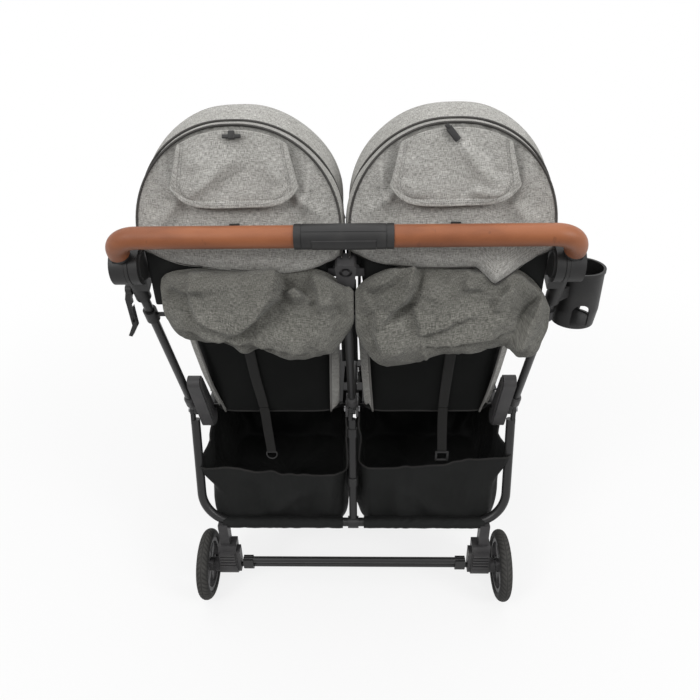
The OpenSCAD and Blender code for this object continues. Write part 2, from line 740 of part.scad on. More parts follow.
// Ribbed foot between the rear frame and the axle
module axle_bracket(left) {
    boss_r = 17;
    color(plastic) on_side(left) difference() {
        union() {
            cross_rod(axle, bracket_x[0] + 16, bracket_x[1], boss_r);
            side_plate(bracket_x[0] + 8, bracket_x[1] - 14) {
                translate(axle) circle(r = boss_r + 3);
                polygon([[-20, axle.y], [20, axle.y], [24, 150], [-8, 150]]);
            }
            for (z = [axle.y + 12:9:axle.y + 48]) translate([bracket_x[0] + 10, -22, z])
                cube([bracket_x[1] - bracket_x[0] - 28, 12, 4]);
            translate([bracket_x[0], -13, axle.y - 10]) cube([14, 26, 62]);
            translate([strut_x - 11, -3, 140]) cube([22, 26, 72]);
        }
        cross_rod(axle, bracket_x[0] - 1, bracket_x[1] + 1, 6 + fit);
        rear_tube_path(rear_d + 2 * fit);
        translate([strut_x - 20, -30, cross_z + 3]) cube([40, 80, 40]);
    }
}

module rear_axle() {
    color("dimgray") {
        cross_rod(axle, -bracket_x[1] - 0.5, bracket_x[1] + 0.5, 6);
        for (left = [true, false]) on_side(left) {
            cross_rod(axle, bracket_x[1] + 0.5, rear_wheel_x + 16, 5);
            cross_rod(axle, rear_wheel_x + 15, rear_wheel_x + 18, 9);
        }
    }
}

// Foot bar that turns on the axle and drives the brake pins
module brake_bar() {
    bar_at = axle + [-4, brake_up];
    color(black) difference() {
        union() {
            cross_rod(bar_at, -lug_x[1], lug_x[1], 7.5);
            for (left = [true, false]) on_side(left) {
                cross_rod(axle, lug_x[0], lug_x[1], 11);
                translate([lug_x[0], bar_at.x - 9, axle.y]) cube([lug_x[1] - lug_x[0], 18, brake_up + 6]);
            }
        }
        cross_rod(axle, -lug_x[1] - 1, lug_x[1] + 1, 6.2);
    }
}

// Wheels

module wheel_rim(wheel_d, wheel_w, seat, bore, spokes) {
    rotate([0, 90, 0]) difference() {
        union() {
            rotate_extrude() translate([seat - 9, 4 - wheel_w / 2]) square([9, wheel_w - 8]);
            rotate_extrude() translate([0, -wheel_w / 2 - 0.4]) square([16, wheel_w + 0.8]);
            for (i = [0:spokes - 1]) rotate([0, 0, 360 * i / spokes])
                translate([10, -7, -5]) cube([seat - 14, 14, 10]);
        }
        cylinder(r = bore, h = 2 * wheel_w, center = true);
    }
}

module tyre(wheel_d, wheel_w, seat) {
    rotate([0, 90, 0]) rotate_extrude() difference() {
        union() {
            translate([wheel_d / 2 - wheel_w / 2, 0]) circle(d = wheel_w);
            translate([seat, 1 - wheel_w / 2]) square([wheel_d / 2 - seat - 5, wheel_w - 2]);
        }
        translate([0, -wheel_w]) square([seat, 2 * wheel_w]);
    }
}

rear_seat = rear_wheel_d / 2 - 20;
front_seat = front_wheel_d / 2 - 18;

module rear_rim(left) {
    color(plastic) on_side(left) translate(space(axle, rear_wheel_x))
        wheel_rim(rear_wheel_d, rear_wheel_w, rear_seat, 5 + fit, 6);
}

module rear_tyre(left) {
    color("#222222") on_side(left) translate(space(axle, rear_wheel_x))
        tyre(rear_wheel_d, rear_wheel_w, rear_seat + 0.05);
}

module front_wheel(left) {
    color("#222222") on_side(left) translate(space(front_axle, caster_x)) {
        wheel_rim(front_wheel_d, front_wheel_w, front_seat, 4 + fit, 6);
        tyre(front_wheel_d, front_wheel_w, front_seat + 0.05);
    }
}

// Caster fork: stem, crown and two trailing blades with the front axle
module fork(left) {
    crown = [161, 175.5];
    blade_x = [front_wheel_w / 2 + 1.6, front_wheel_w / 2 + 6.6];
    color(plastic) on_side(left) translate([caster_x, 0, 0]) {
        translate([0, caster_y, crown[0]]) {
            cylinder(r = 6, h = 58);
            cylinder(r = 20, h = crown[1] - crown[0]);
        }
        for (side = [true, false]) on_side(side) side_plate(blade_x[0], blade_x[1]) {
            polygon([[caster_y - 17, crown[0] + 12], [caster_y + 12, crown[0] + 12],
                [front_axle.x + 11, front_axle.y], [front_axle.x - 11, front_axle.y]]);
            translate(front_axle) circle(r = 11);
        }
        cross_rod(front_axle, -blade_x[1], blade_x[1], 4);
    }
}

// Push bar

module bar_path(from, to, d) {
    leaning(hub, arm_tilt) rotate([90, 0, 0])
        bent_tube([[from, arm_l], [arm_x, arm_l], [arm_x, to]], bar_bend, d);
}

module handle_tubes() {
    color(black) for (left = [true, false]) on_side(left) bar_path(50, hub_r + 4, bar_d);
}

module grip(left) {
    color(tan_leather) on_side(left) difference() {
        bar_path(housing_l / 2 + 0.2, hub_r + 9, grip_d);
        bar_path(housing_l / 2 - 2, hub_r + 4, bar_d + 2 * fit);
    }
}

// Outer half of a push bar hub with the socket for the bar
module hub_outer(left) {
    face = [side_x + gap, side_x + 24];
    color(plastic) on_side(left) difference() {
        union() {
            cross_rod(hub, face[0], face[1], hub_r);
            leaning(hub, arm_tilt) translate([face[0] + 0.2, -12, 6]) cube([arm_x + 12 - face[0], 24, hub_r]);
            leaning(hub, arm_tilt, arm_x) translate([0, 0, hub_r + 1.5]) cylinder(r = 15, h = 7.2);
        }
        leaning(hub, arm_tilt, arm_x) translate([0, 0, hub_r + 3.9]) cylinder(d = bar_d + 2 * fit, h = 40);
        cross_rod(hub, face[0] - 1, face[1] + 3, 6 + fit);
        // Dished outer face with one raised ring
        translate([face[1] - 2, hub.x, hub.y]) rotate([0, 90, 0]) difference() {
            cylinder(r = hub_r - 4, h = 5);
            cylinder(r = 16, h = 5);
        }
    }
}

module fold_housing() {
    slot = [47.5, 15];
    color(plastic) leaning(bar, trigger_tilt) difference() {
        translate([-housing_l / 2, 0, 0]) rotate([0, 90, 0]) cylinder(d = housing_d, h = housing_l);
        for (s = [-1, 1]) {
            translate([s > 0 ? 49.5 : -housing_l / 2 - 1, 0, 0]) rotate([0, 90, 0])
                cylinder(d = bar_d + 2 * fit, h = housing_l / 2 - 48.5);
            // Ring grooves near the ends and the seam along the side
            translate([s * (housing_l / 2 - 11), 0, 0]) rotate([0, 90, 0]) difference() {
                cylinder(d = housing_d + 2, h = 1.4, center = true);
                cylinder(d = housing_d - 2, h = 1.4, center = true);
            }
            translate([0, s * housing_d / 2, 0]) cube([housing_l - 24, 1.6, 1.2], center = true);
        }
        translate([-slot[0], -slot[1], -housing_d]) cube([2 * slot[0], 2 * slot[1], housing_d + 5]);
    }
}

// Squeeze trigger under the bar
module fold_trigger() {
    half = [47.1, 14.6];
    color(black) leaning(bar, trigger_tilt) intersection() {
        translate([-half[0], 0, 0]) rotate([0, 90, 0]) cylinder(d = housing_d + 1.5, h = 2 * half[0]);
        translate([-half[0], -half[1], -housing_d]) cube([2 * half[0], 2 * half[1], housing_d - trigger_travel + 4]);
    }
}

// Seat backs, curtains and leg rests

module seat_back(left) {
    color(dark_cloth) on_side(left) {
        leaning(seat_hinge, back_lean, seat_x) loft(cushion(back_l - 14, seat_w, 14, 17, 5, 14));
        cross_rod(seat_hinge, 14.8, housing_x[0] - 3.6, 5);
    }
}

// Gathered cloth that hangs behind the seat back in soft folds
module curtain(left) {
    across = [0, 0.03, 0.1, 0.18, 0.26, 0.34, 0.42, 0.5, 0.58, 0.66, 0.74, 0.82, 0.9, 0.97, 1];
    width = 298;
    function fold(u, a) = 1 + 0.1 * sin(720 * u + a) * max(0, -cos(a)) + 0.05 * sin(1260 * u + 2 * a);
    color(cloth) on_side(left) leaning(seat_hinge, back_lean, seat_x + 9)
        loft([for (u = across)
            let (full = 0.45 + 0.55 * pow(sin(180 * u), 0.35))
            [for (i = [0:19])
                let (a = 18 * i, c = power(cos(a), 0.7), s = power(sin(a), 0.75))
                [(u - 0.5) * width, -78 + 62 * (c < 0 ? full * fold(u, a) : pow(full, 1.5)) * c,
                    402 + (s < 0 ? 80 * fold(u, a) : 74) * full * s]]]);
}

module leg_rest(left) {
    color(dark_cloth) on_side(left) leaning(leg_rest_hinge, leg_rest_tilt) {
        translate([seat_x, 0, 0]) loft(cushion(leg_rest_l - 8, seat_w, 8, 8, 2, 8));
        translate([14, 0, 0]) rotate([0, 90, 0]) cylinder(r = 5, h = leg_x - leg_d / 2 - 14.4);
    }
}

front_leg(true);  // front_leg_left
front_leg(false);  // front_leg_right
front_leg_center();
front_cross_tube();
joint_housing(true);  // joint_housing_left
joint_housing(false);  // joint_housing_right
joint_housing_center();
pivot_bolts();
seat_boards();
seat_pad(true);  // seat_pad_left
seat_pad(false);  // seat_pad_right
harness_buckles();
caster_housing(true);  // caster_housing_left
caster_housing(false);  // caster_housing_right
basket(true);  // basket_left
basket(false);  // basket_right
upper_tube(true);  // upper_tube_left
upper_tube(false);  // upper_tube_right
upper_tube_center();
lock_collars();
hub_inner(true);  // hub_inner_left
hub_inner(false);  // hub_inner_right
center_bracket();
canopy_mounts();
canopy_rear(true);  // canopy_rear_left
canopy_rear(false);  // canopy_rear_right
cup_holder();
cup_clamp();
rear_tube();
rear_center_tube();
axle_bracket(true);  // axle_bracket_left
axle_bracket(false);  // axle_bracket_right
rear_axle();
handle_tubes();
grip(true);  // grip_left
grip(false);  // grip_right
fold_housing();
hub_outer(true);  // hub_outer_left
hub_outer(false);  // hub_outer_right
fold_trigger();
canopy_front(true);  // canopy_front_left
canopy_front(false);  // canopy_front_right
flap(true);  // flap_left
flap(false);  // flap_right
seat_back(true);  // seat_back_left
seat_back(false);  // seat_back_right
curtain(true);  // curtain_left
curtain(false);  // curtain_right
rear_rim(true);  // rear_rim_left
rear_rim(false);  // rear_rim_right
rear_tyre(true);  // rear_tyre_left
rear_tyre(false);  // rear_tyre_right
fork(true);  // fork_left
fork(false);  // fork_right
front_wheel(true);  // front_wheel_left
front_wheel(false);  // front_wheel_right
brake_bar();
storage_latch();
leg_rest(true);  // leg_rest_left
leg_rest(false);  // leg_rest_right
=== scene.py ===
"""Dressed model of a side by side double stroller: finishes, cloth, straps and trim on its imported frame."""
import json
import logging
import math
from dataclasses import dataclass
from enum import Enum
from typing import Any, Callable, Dict, List, Optional, Sequence, Tuple

import bmesh
import bpy
from mathutils import Matrix, Vector, noise


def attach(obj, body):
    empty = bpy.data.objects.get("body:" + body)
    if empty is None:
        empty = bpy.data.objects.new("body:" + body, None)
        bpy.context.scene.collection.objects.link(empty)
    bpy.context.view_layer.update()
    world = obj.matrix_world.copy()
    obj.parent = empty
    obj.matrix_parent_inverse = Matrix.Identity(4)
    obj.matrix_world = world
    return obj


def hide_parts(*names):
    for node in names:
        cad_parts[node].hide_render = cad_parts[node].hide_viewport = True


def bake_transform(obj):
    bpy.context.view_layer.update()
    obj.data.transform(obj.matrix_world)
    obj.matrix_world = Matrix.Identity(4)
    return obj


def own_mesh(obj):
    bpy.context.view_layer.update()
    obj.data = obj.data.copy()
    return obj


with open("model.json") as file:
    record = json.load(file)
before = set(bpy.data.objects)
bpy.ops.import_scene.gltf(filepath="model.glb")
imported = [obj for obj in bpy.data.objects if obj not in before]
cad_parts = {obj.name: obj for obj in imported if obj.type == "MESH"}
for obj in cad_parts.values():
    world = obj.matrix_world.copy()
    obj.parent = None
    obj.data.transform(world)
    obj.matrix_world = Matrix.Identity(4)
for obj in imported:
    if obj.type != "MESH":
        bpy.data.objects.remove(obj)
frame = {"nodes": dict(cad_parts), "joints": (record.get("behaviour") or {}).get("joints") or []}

log = logging.getLogger("stroller")
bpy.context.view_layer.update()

Colour = Tuple[float, float, float]
Rule = Callable[[float, float], Vector]
Hold = Callable[[float, float], float]
Crease = Tuple[Tuple[float, float], Tuple[float, float], float]
Piece = bpy.types.Object
X_AXIS = Vector((1.0, 0.0, 0.0))
Z_AXIS = Vector((0.0, 0.0, 1.0))
NOISE_SEED = 3
BACK_LEAN = 22.0
MERGE_GAP = 1e-5
HOOD_CLOTH = 0.0022
PANEL_CLOTH = 0.0016
THIN_CLOTH = 0.0012
WEBBING_THICK = 0.0016
STITCH_SHARE = 0.7


class Side(Enum):
    """The two halves of the stroller, as the sign of X."""

    LEFT = -1
    RIGHT = 1

    @property
    def word(self) -> str:
        """The side's name as the frame's nodes spell it."""
        return self.name.lower()

    def point(self, x: float, y: float, z: float) -> Vector:
        """A point given for the right hand side, moved to this side."""
        return Vector((self.value * x, y, z))


class Chart(Enum):
    """Where a finish reads its pattern from."""

    OBJECT = "Object"
    CLOTH = "UV"


def joint_at(name: str) -> Vector:
    """The point that a joint of the frame turns about, in metres."""
    return Vector(next(j["pos_m"] for j in frame["joints"] if j["name"] == name))


FOLD = joint_at("fold")
HUB = joint_at("handle_tilt")
HOOD_PIVOT = joint_at("canopy_right_swing")
BACK_HINGE = joint_at("recline_right")
LEG_HINGE = joint_at("leg_rest_right_lift")


def lerp(a: float, b: float, t: float) -> float:
    """The value a share t of the way from a to b."""
    return a + (b - a) * t


def ease(low: float, high: float, value: float) -> float:
    """Rises smoothly from 0 at low to 1 at high."""
    t = min(1.0, max(0.0, (value - low) / (high - low)))
    return t * t * (3.0 - 2.0 * t)


def hill(value: float, middle: float, width: float) -> float:
    """A bump of height 1 round middle."""
    return math.exp(-((value - middle) / width) ** 2)


def power(value: float, exponent: float) -> float:
    """A power that keeps the sign."""
    return math.copysign(abs(value) ** exponent, value)


def ripple(u: float, v: float, seed: float, scale: Tuple[float, float]) -> float:
    """Smooth cloth noise between about -1 and 1.

    Args:
        u: place across the cloth
        v: place along the cloth
        seed: which of the endless patterns to take
        scale: waves across and along
    Returns:
        the noise at that place
    """
    return noise.noise(Vector((u * scale[0] + seed, v * scale[1] - seed, seed * 0.37)))


def crease(u: float, v: float, start: Tuple[float, float], end: Tuple[float, float], width: float) -> float:
    """Height of a fold that runs from start to end and fades at both ends.

    Args:
        u: place across the cloth
        v: place along the cloth
        start: one end of the fold
        end: the other end
        width: half width of the fold
    Returns:
        from 0 off the fold to 1 on its middle
    """
    du, dv = end[0] - start[0], end[1] - start[1]
    length = math.hypot(du, dv)
    along = ((u - start[0]) * du + (v - start[1]) * dv) / (length * length)
    off = abs((u - start[0]) * dv - (v - start[1]) * du) / length
    fade = ease(-0.12, 0.25, along) * ease(-0.12, 0.25, 1.0 - along)
    return fade * math.exp(-(off / width) ** 1.6)


def crumple(at: Vector, cell: float, seed: float) -> float:
    """Crushed cloth: rounded in the middle of each facet and sharp between facets.

    Args:
        at: place on the cloth in metres
        cell: size of a facet
        seed: which pattern to take
    Returns:
        from 0 between facets to about 1 on their middles
    """
    place = at / cell + Vector((seed, 1.7 * seed, 0.3 * seed))
    near = noise.voronoi(place + 0.4 * noise.noise_vector(0.8 * place))[0]
    return min(1.0, near[1] - near[0])


@dataclass(frozen=True)
class Fold:
    """A fold in cloth that hangs: raised to the left of its line and tucked in to the right of it."""

    line: Tuple[Tuple[float, float], ...]
    high: float
    width: float = 0.03
    edge: float = 0.002

    def lift(self, x: float, z: float) -> float:
        """How far the fold raises the cloth at a place across and up.

        Args:
            x: place across
            z: place up
        Returns:
            the rise in metres
        """
        best, side, share = 1.0e9, 1.0, 0.0
        last = len(self.line) - 1
        for i, ((ax, az), (bx, bz)) in enumerate(zip(self.line, self.line[1:])):
            dx, dz = bx - ax, bz - az
            t = ((x - ax) * dx + (z - az) * dz) / (dx * dx + dz * dz)
            held = min(1.0, max(0.0, t))
            off = math.hypot(x - ax - held * dx, z - az - held * dz)
            if off < best:
                best, share = off, (i + held) / last
                side = math.copysign(1.0, dx * (z - az) - dz * (x - ax))
        fade = ease(-0.05, 0.22, share) * ease(-0.05, 0.22, 1.0 - share)
        return self.high * fade * math.tanh(side * best / self.edge) * math.exp(-best / self.width)


def smooth_path(points: Sequence[Vector], steps: int) -> List[Vector]:
    """A smooth curve through a few points.

    Args:
        points: the points that the curve passes
        steps: stretches between each two points
    Returns:
        the points of the curve
    """
    padded = [2 * points[0] - points[1], *points, 2 * points[-1] - points[-2]]
    found = []
    for a, b, c, d in zip(padded, padded[1:], padded[2:], padded[3:]):
        for i in range(steps):
            t = i / steps
            found.append(0.5 * (2 * b + (c - a) * t + (2 * a - 5 * b + 4 * c - d) * t * t
                                + (3 * b - a - 3 * c + d) * t ** 3))
    return [*found, Vector(points[-1])]


def stations_along(path: Sequence[Vector]) -> List[Matrix]:
    """Frames along a path, each with its Z along it and no twist between them.

    Args:
        path: the points of the path
    Returns:
        one matrix for each point
    """
    last = len(path) - 1
    tangents = [(path[min(i + 1, last)] - path[max(i - 1, 0)]).normalized() for i in range(last + 1)]
    turn = Z_AXIS.rotation_difference(tangents[0])
    frames = []
    for i, (point, tangent) in enumerate(zip(path, tangents)):
        if i:
            turn = tangents[i - 1].rotation_difference(tangent) @ turn
        frames.append(Matrix.Translation(point) @ turn.to_matrix().to_4x4())
    return frames


class Sock:
    """A shader socket that takes part in sums, each of which adds a Math node."""

    def __init__(self, sheet: "NodeSheet", socket: bpy.types.NodeSocket) -> None:
        """Keeps the socket and the sheet that it is on."""
        self.sheet = sheet
        self.socket = socket

    def _sum(self, operation: str, first: Any, second: Any) -> "Sock":
        """Adds one Math node."""
        return self.sheet.node("ShaderNodeMath", {"operation": operation}, {0: first, 1: second})

    def __add__(self, other: Any) -> "Sock":
        """Socket plus value."""
        return self._sum("ADD", self, other)

    def __radd__(self, other: Any) -> "Sock":
        """Value plus socket."""
        return self._sum("ADD", other, self)

    def __sub__(self, other: Any) -> "Sock":
        """Socket less value."""
        return self._sum("SUBTRACT", self, other)

    def __rsub__(self, other: Any) -> "Sock":
        """Value less socket."""
        return self._sum("SUBTRACT", other, self)

    def __mul__(self, other: Any) -> "Sock":
        """Socket times value."""
        return self._sum("MULTIPLY", self, other)

    def __rmul__(self, other: Any) -> "Sock":
        """Value times socket."""
        return self._sum("MULTIPLY", other, self)

    def sine(self) -> "Sock":
        """Sine of the socket, in radians."""
        return self._sum("SINE", self, 0.0)

    def above(self, edge: float, width: float) -> "Sock":
        """Rises from 0 to 1 over width round edge."""
        return self.sheet.node("ShaderNodeMapRange", {"interpolation_type": "SMOOTHSTEP"},
                               {"Value": self, "From Min": edge - width / 2, "From Max": edge + width / 2})


class NodeSheet:
    """A node tree and the one method that adds nodes to it."""

    def __init__(self, tree: bpy.types.NodeTree) -> None:
        """Empties the tree."""
        self.tree = tree
        tree.nodes.clear()

    def node(self, kind: str, settings: Optional[Dict[str, Any]] = None,
             sockets: Optional[Dict[Any, Any]] = None, out: Any = 0) -> Sock:
        """Adds a node.

        Args:
            kind: the node's type
            settings: its own settings, with a ramp's stops as "stops"
            sockets: values or links for its inputs
            out: the output to hand back
        Returns:
            that output
        """
        made = self.tree.nodes.new(kind)
        for key, value in (settings or {}).items():
            if key == "stops":
                for element, (place, colour) in zip(self._stops(made, len(value)), value):
                    element.position = place
                    element.color = (*colour, 1.0)
            else:
                setattr(made, key, value)
        for key, value in (sockets or {}).items():
            if isinstance(value, Sock):
                self.tree.links.new(value.socket, made.inputs[key])
            else:
                made.inputs[key].default_value = value
        return Sock(self, made.outputs[out] if len(made.outputs) else None)

    @staticmethod
    def _stops(ramp_node: bpy.types.Node, count: int) -> List[Any]:
        """Gives a ramp as many stops as it needs.

        Args:
            ramp_node: the ramp
            count: of stops
        Returns:
            the stops
        """
        elements = ramp_node.color_ramp.elements
        while len(elements) < count:
            elements.new(1.0)
        return list(elements)

    def place(self, chart: Chart) -> Sock:
        """Coordinates in metres from the piece's own frame or its cloth chart."""
        return self.node("ShaderNodeTexCoord", out=chart.value)

    def stretch(self, vector: Sock, by: Colour) -> Sock:
        """Scales a vector axis by axis."""
        return self.node("ShaderNodeVectorMath", {"operation": "MULTIPLY"}, {0: vector, 1: by})

    def cloud(self, vector: Sock, scale: float, detail: float = 2.0) -> Sock:
        """Noise between 0 and 1."""
        return self.node("ShaderNodeTexNoise", {}, {"Vector": vector, "Scale": scale, "Detail": detail})

    def ramp(self, value: Sock, stops: Sequence[Tuple[float, Colour]]) -> Sock:
        """Colours for a value."""
        return self.node("ShaderNodeValToRGB", {"stops": stops}, {"Fac": value})

    def axes(self, vector: Sock) -> Tuple[Sock, Sock]:
        """The first two axes of a vector, across and along."""
        across = self.node("ShaderNodeSeparateXYZ", {}, {0: vector}, 0)
        return across, Sock(self, across.socket.node.outputs[1])

    def tint(self, share: Any, first: Any, second: Any, way: str = "MIX") -> Sock:
        """Mixes two colours.

        Args:
            share: of the second colour
            first: colour or link
            second: colour or link
            way: how they are mixed
        Returns:
            the mixed colour
        """
        pair = [c if isinstance(c, Sock) else (*c, 1.0) for c in (first, second)]
        return self.node("ShaderNodeMix", {"data_type": "RGBA", "blend_type": way},
                         {0: share, 6: pair[0], 7: pair[1]}, 2)


class Shader(NodeSheet):
    """A procedural material with one principled surface."""

    def __init__(self, name: str) -> None:
        """Makes the material.

        Args:
            name: of the material
        """
        self.material = bpy.data.materials.new(name)
        self.material.use_nodes = True
        super().__init__(self.material.node_tree)

    def bump(self, height: Sock, depth: float, strength: float = 1.0) -> Sock:
        """A normal from a height, whose full swing is depth metres."""
        return self.node("ShaderNodeBump", {}, {"Height": height, "Distance": depth, "Strength": strength})

    def surface(self, sockets: Dict[str, Any]) -> bpy.types.Material:
        """Closes the material with a principled shader.

        Args:
            sockets: values or links of the shader's inputs
        Returns:
            the material
        """
        shader = self.node("ShaderNodeBsdfPrincipled", {}, sockets)
        self.node("ShaderNodeOutputMaterial", {}, {"Surface": shader})
        return self.material


@dataclass(frozen=True)
class Finish:
    """A finish by name, with the record's slot that it belongs to."""

    name: str
    slot: str

    def material(self) -> bpy.types.Material:
        """The finish's material, made on first use."""
        return bpy.data.materials.get(self.name) or self.mix()

    def mix(self) -> bpy.types.Material:
        """Makes the material."""
        raise NotImplementedError


@dataclass(frozen=True)
class MelangeCloth(Finish):
    """Two yarns, dark and pale, woven into a flecked grey cloth."""

    chart: Chart = Chart.CLOTH
    dark: Colour = (0.175, 0.170, 0.160)
    middle: Colour = (0.390, 0.382, 0.360)
    pale: Colour = (0.65, 0.64, 0.61)
    thread: float = 0.0011

    def mix(self) -> bpy.types.Material:
        """Flecks along both yarns, slubs, a soft cloudiness and the weave as relief.

        Returns:
            the material
        """
        s = Shader(self.name)
        at = s.place(self.chart)
        warp = s.cloud(s.stretch(at, (1.0, 0.13, 0.5)), 1050.0)
        weft = s.cloud(s.stretch(at, (0.13, 1.0, 0.5)), 1050.0)
        slub = s.cloud(s.stretch(at, (0.06, 1.0, 0.3)), 560.0, 3.0)
        fleck = s.cloud(at, 900.0, 3.0)
        cloudy = s.cloud(at, 16.0, 5.0)
        yarn = warp * 0.34 + weft * 0.34 + fleck * 0.16 + slub * 0.16
        flecked = s.ramp(yarn, [(0.39, self.dark), (0.5, self.middle), (0.61, self.pale)])
        shade = s.ramp(cloudy, [(0.3, (0.84, 0.84, 0.83)), (0.7, (1.0, 1.0, 1.0))])
        across, along = s.axes(at)
        turns = 2.0 * math.pi / self.thread
        weave = (across * turns).sine() * (along * turns).sine()
        height = weave * 0.35 + yarn * 1.6 + 0.2
        return s.surface({"Base Color": s.tint(1.0, flecked, shade, "MULTIPLY"), "Roughness": 0.93,
                          "Sheen Weight": 0.12, "Specular IOR Level": 0.2,
                          "Normal": s.bump(height, 0.0005, 0.6)})


@dataclass(frozen=True)
class PlainCloth(Finish):
    """Close woven black cloth with a faint sheen and pale dust in its folds."""

    chart: Chart = Chart.CLOTH
    base: Colour = (0.0032, 0.0035, 0.0034)
    worn: Colour = (0.0075, 0.0080, 0.0076)
    rough: float = 0.62
    thread: float = 0.0011
    shine: float = 0.18

    def mix(self) -> bpy.types.Material:
        """Twill lines as relief over a cloudy black.

        Returns:
            the material
        """
        s = Shader(self.name)
        at = s.place(self.chart)
        cloudy = s.cloud(at, 11.0, 5.0)
        grain = s.cloud(at, 700.0, 2.0)
        across, along = s.axes(at)
        turns = 2.0 * math.pi / self.thread
        twill = ((across + along) * turns).sine()
        colour = s.tint(cloudy.above(0.52, 0.5) * 0.7 + grain * 0.3, self.base, self.worn)
        return s.surface({"Base Color": colour, "Roughness": cloudy * 0.2 + (self.rough - 0.1),
                          "Sheen Weight": 0.015, "Specular IOR Level": self.shine,
                          "Normal": s.bump(twill * 0.3 + grain, 0.0004, 0.6)})


@dataclass(frozen=True)
class Leatherette(Finish):
    """Tan coated cloth with a pebbled grain and handling marks."""

    tan: Colour = (0.285, 0.090, 0.030)
    deep: Colour = (0.172, 0.048, 0.0145)
    rubbed: Colour = (0.40, 0.160, 0.075)
    scuffed: Colour = (0.12, 0.035, 0.015)

    def mix(self) -> bpy.types.Material:
        """Pebbles, darker where hands go, and a satin coat.

        Returns:
            the material
        """
        s = Shader(self.name)
        at = s.place(Chart.OBJECT)
        pebble = s.node("ShaderNodeTexVoronoi", {"feature": "SMOOTH_F1"}, {"Vector": at, "Scale": 640.0})
        fine = s.cloud(at, 900.0, 3.0)
        handled = s.cloud(s.stretch(at, (0.4, 1.0, 1.0)), 26.0, 4.0)
        scuff = s.cloud(s.stretch(at, (1.0, 0.5, 0.5)), 70.0, 2.0).above(0.70, 0.06)
        base = s.tint(handled.above(0.52, 0.42), self.tan, self.deep)
        pale = s.tint(fine * 0.25, base, self.rubbed)
        colour = s.tint(scuff * 0.35, pale, self.scuffed)
        return s.surface({"Base Color": colour, "Roughness": handled * 0.25 + 0.36,
                          "Specular IOR Level": 0.4, "Sheen Weight": 0.05,
                          "Normal": s.bump(pebble * 0.8 + fine * 0.3, 0.0005, 0.5)})


@dataclass(frozen=True)
class CoatedTube(Finish):
    """Powder coat over metal: orange peel, scuffs and a satin gloss."""

    base: Colour = (0.014, 0.0138, 0.0142)
    scuffed: Colour = (0.075, 0.073, 0.070)
    rough: float = 0.36

    def mix(self) -> bpy.types.Material:
        """Peel as relief, with thin pale scuffs.

        Returns:
            the material
        """
        s = Shader(self.name)
        at = s.place(Chart.OBJECT)
        peel = s.cloud(at, 1500.0, 2.0)
        patch = s.cloud(at, 18.0, 5.0)
        scratch = s.cloud(s.stretch(at, (1.0, 1.0, 0.08)), 420.0, 2.0).above(0.68, 0.05)
        scratch = scratch * patch.above(0.6, 0.2)
        colour = s.tint(scratch * 0.5 + patch * 0.06, self.base, self.scuffed)
        return s.surface({"Base Color": colour, "Roughness": patch * 0.22 + (self.rough - 0.1),
                          "Specular IOR Level": 0.36, "Normal": s.bump(peel, 0.00012, 0.5)})


@dataclass(frozen=True)
class MouldedPlastic(Finish):
    """Fine spark-eroded plastic with handling shine."""

    base: Colour = (0.013, 0.0128, 0.0130)
    dusty: Colour = (0.036, 0.035, 0.034)
    rough: float = 0.48

    def mix(self) -> bpy.types.Material:
        """Stipple as relief under a cloudy gloss.

        Returns:
            the material
        """
        s = Shader(self.name)
        at = s.place(Chart.OBJECT)
        stipple = s.cloud(at, 1300.0, 3.0)
        dust = s.cloud(at, 30.0, 6.0)
        colour = s.tint(dust.above(0.58, 0.3) * 0.45 + stipple * 0.1, self.base, self.dusty)
        return s.surface({"Base Color": colour, "Roughness": dust * 0.24 + (self.rough - 0.12),
                          "Specular IOR Level": 0.32, "Normal": s.bump(stipple, 0.0002, 0.5)})


@dataclass(frozen=True)
class TreadRubber(Finish):
    """Foamed tyre rubber, paler where the road has worn it."""

    base: Colour = (0.017, 0.0168, 0.0162)
    worn: Colour = (0.064, 0.062, 0.058)

    def mix(self) -> bpy.types.Material:
        """Reads the wear that the tyre carries and roughens it.

        Returns:
            the material
        """
        s = Shader(self.name)
        at = s.place(Chart.OBJECT)
        wear = s.node("ShaderNodeAttribute", {"attribute_name": "wear"}, {}, "Fac")
        grit = s.cloud(at, 420.0, 4.0)
        dust = s.cloud(at, 45.0, 5.0)
        share = wear * (grit * 0.5 + dust * 0.9) + dust.above(0.55, 0.3) * 0.12
        colour = s.tint(share, self.base, self.worn)
        return s.surface({"Base Color": colour, "Roughness": dust * 0.2 + 0.68,
                          "Specular IOR Level": 0.3, "Normal": s.bump(grit, 0.0004, 0.6)})


@dataclass(frozen=True)
class BareSteel(Finish):
    """Plated steel with fine brushing."""

    base: Colour = (0.30, 0.30, 0.31)
    stained: Colour = (0.12, 0.118, 0.115)

    def mix(self) -> bpy.types.Material:
        """Brushed lines in the gloss.

        Returns:
            the material
        """
        s = Shader(self.name)
        at = s.place(Chart.OBJECT)
        lines = s.cloud(s.stretch(at, (0.05, 1.0, 1.0)), 900.0, 2.0)
        stain = s.cloud(at, 60.0, 4.0)
        colour = s.tint(stain * 0.5, self.base, self.stained)
        return s.surface({"Base Color": colour, "Metallic": 1.0, "Roughness": lines * 0.3 + 0.25,
                          "Normal": s.bump(lines, 0.0001, 0.4)})


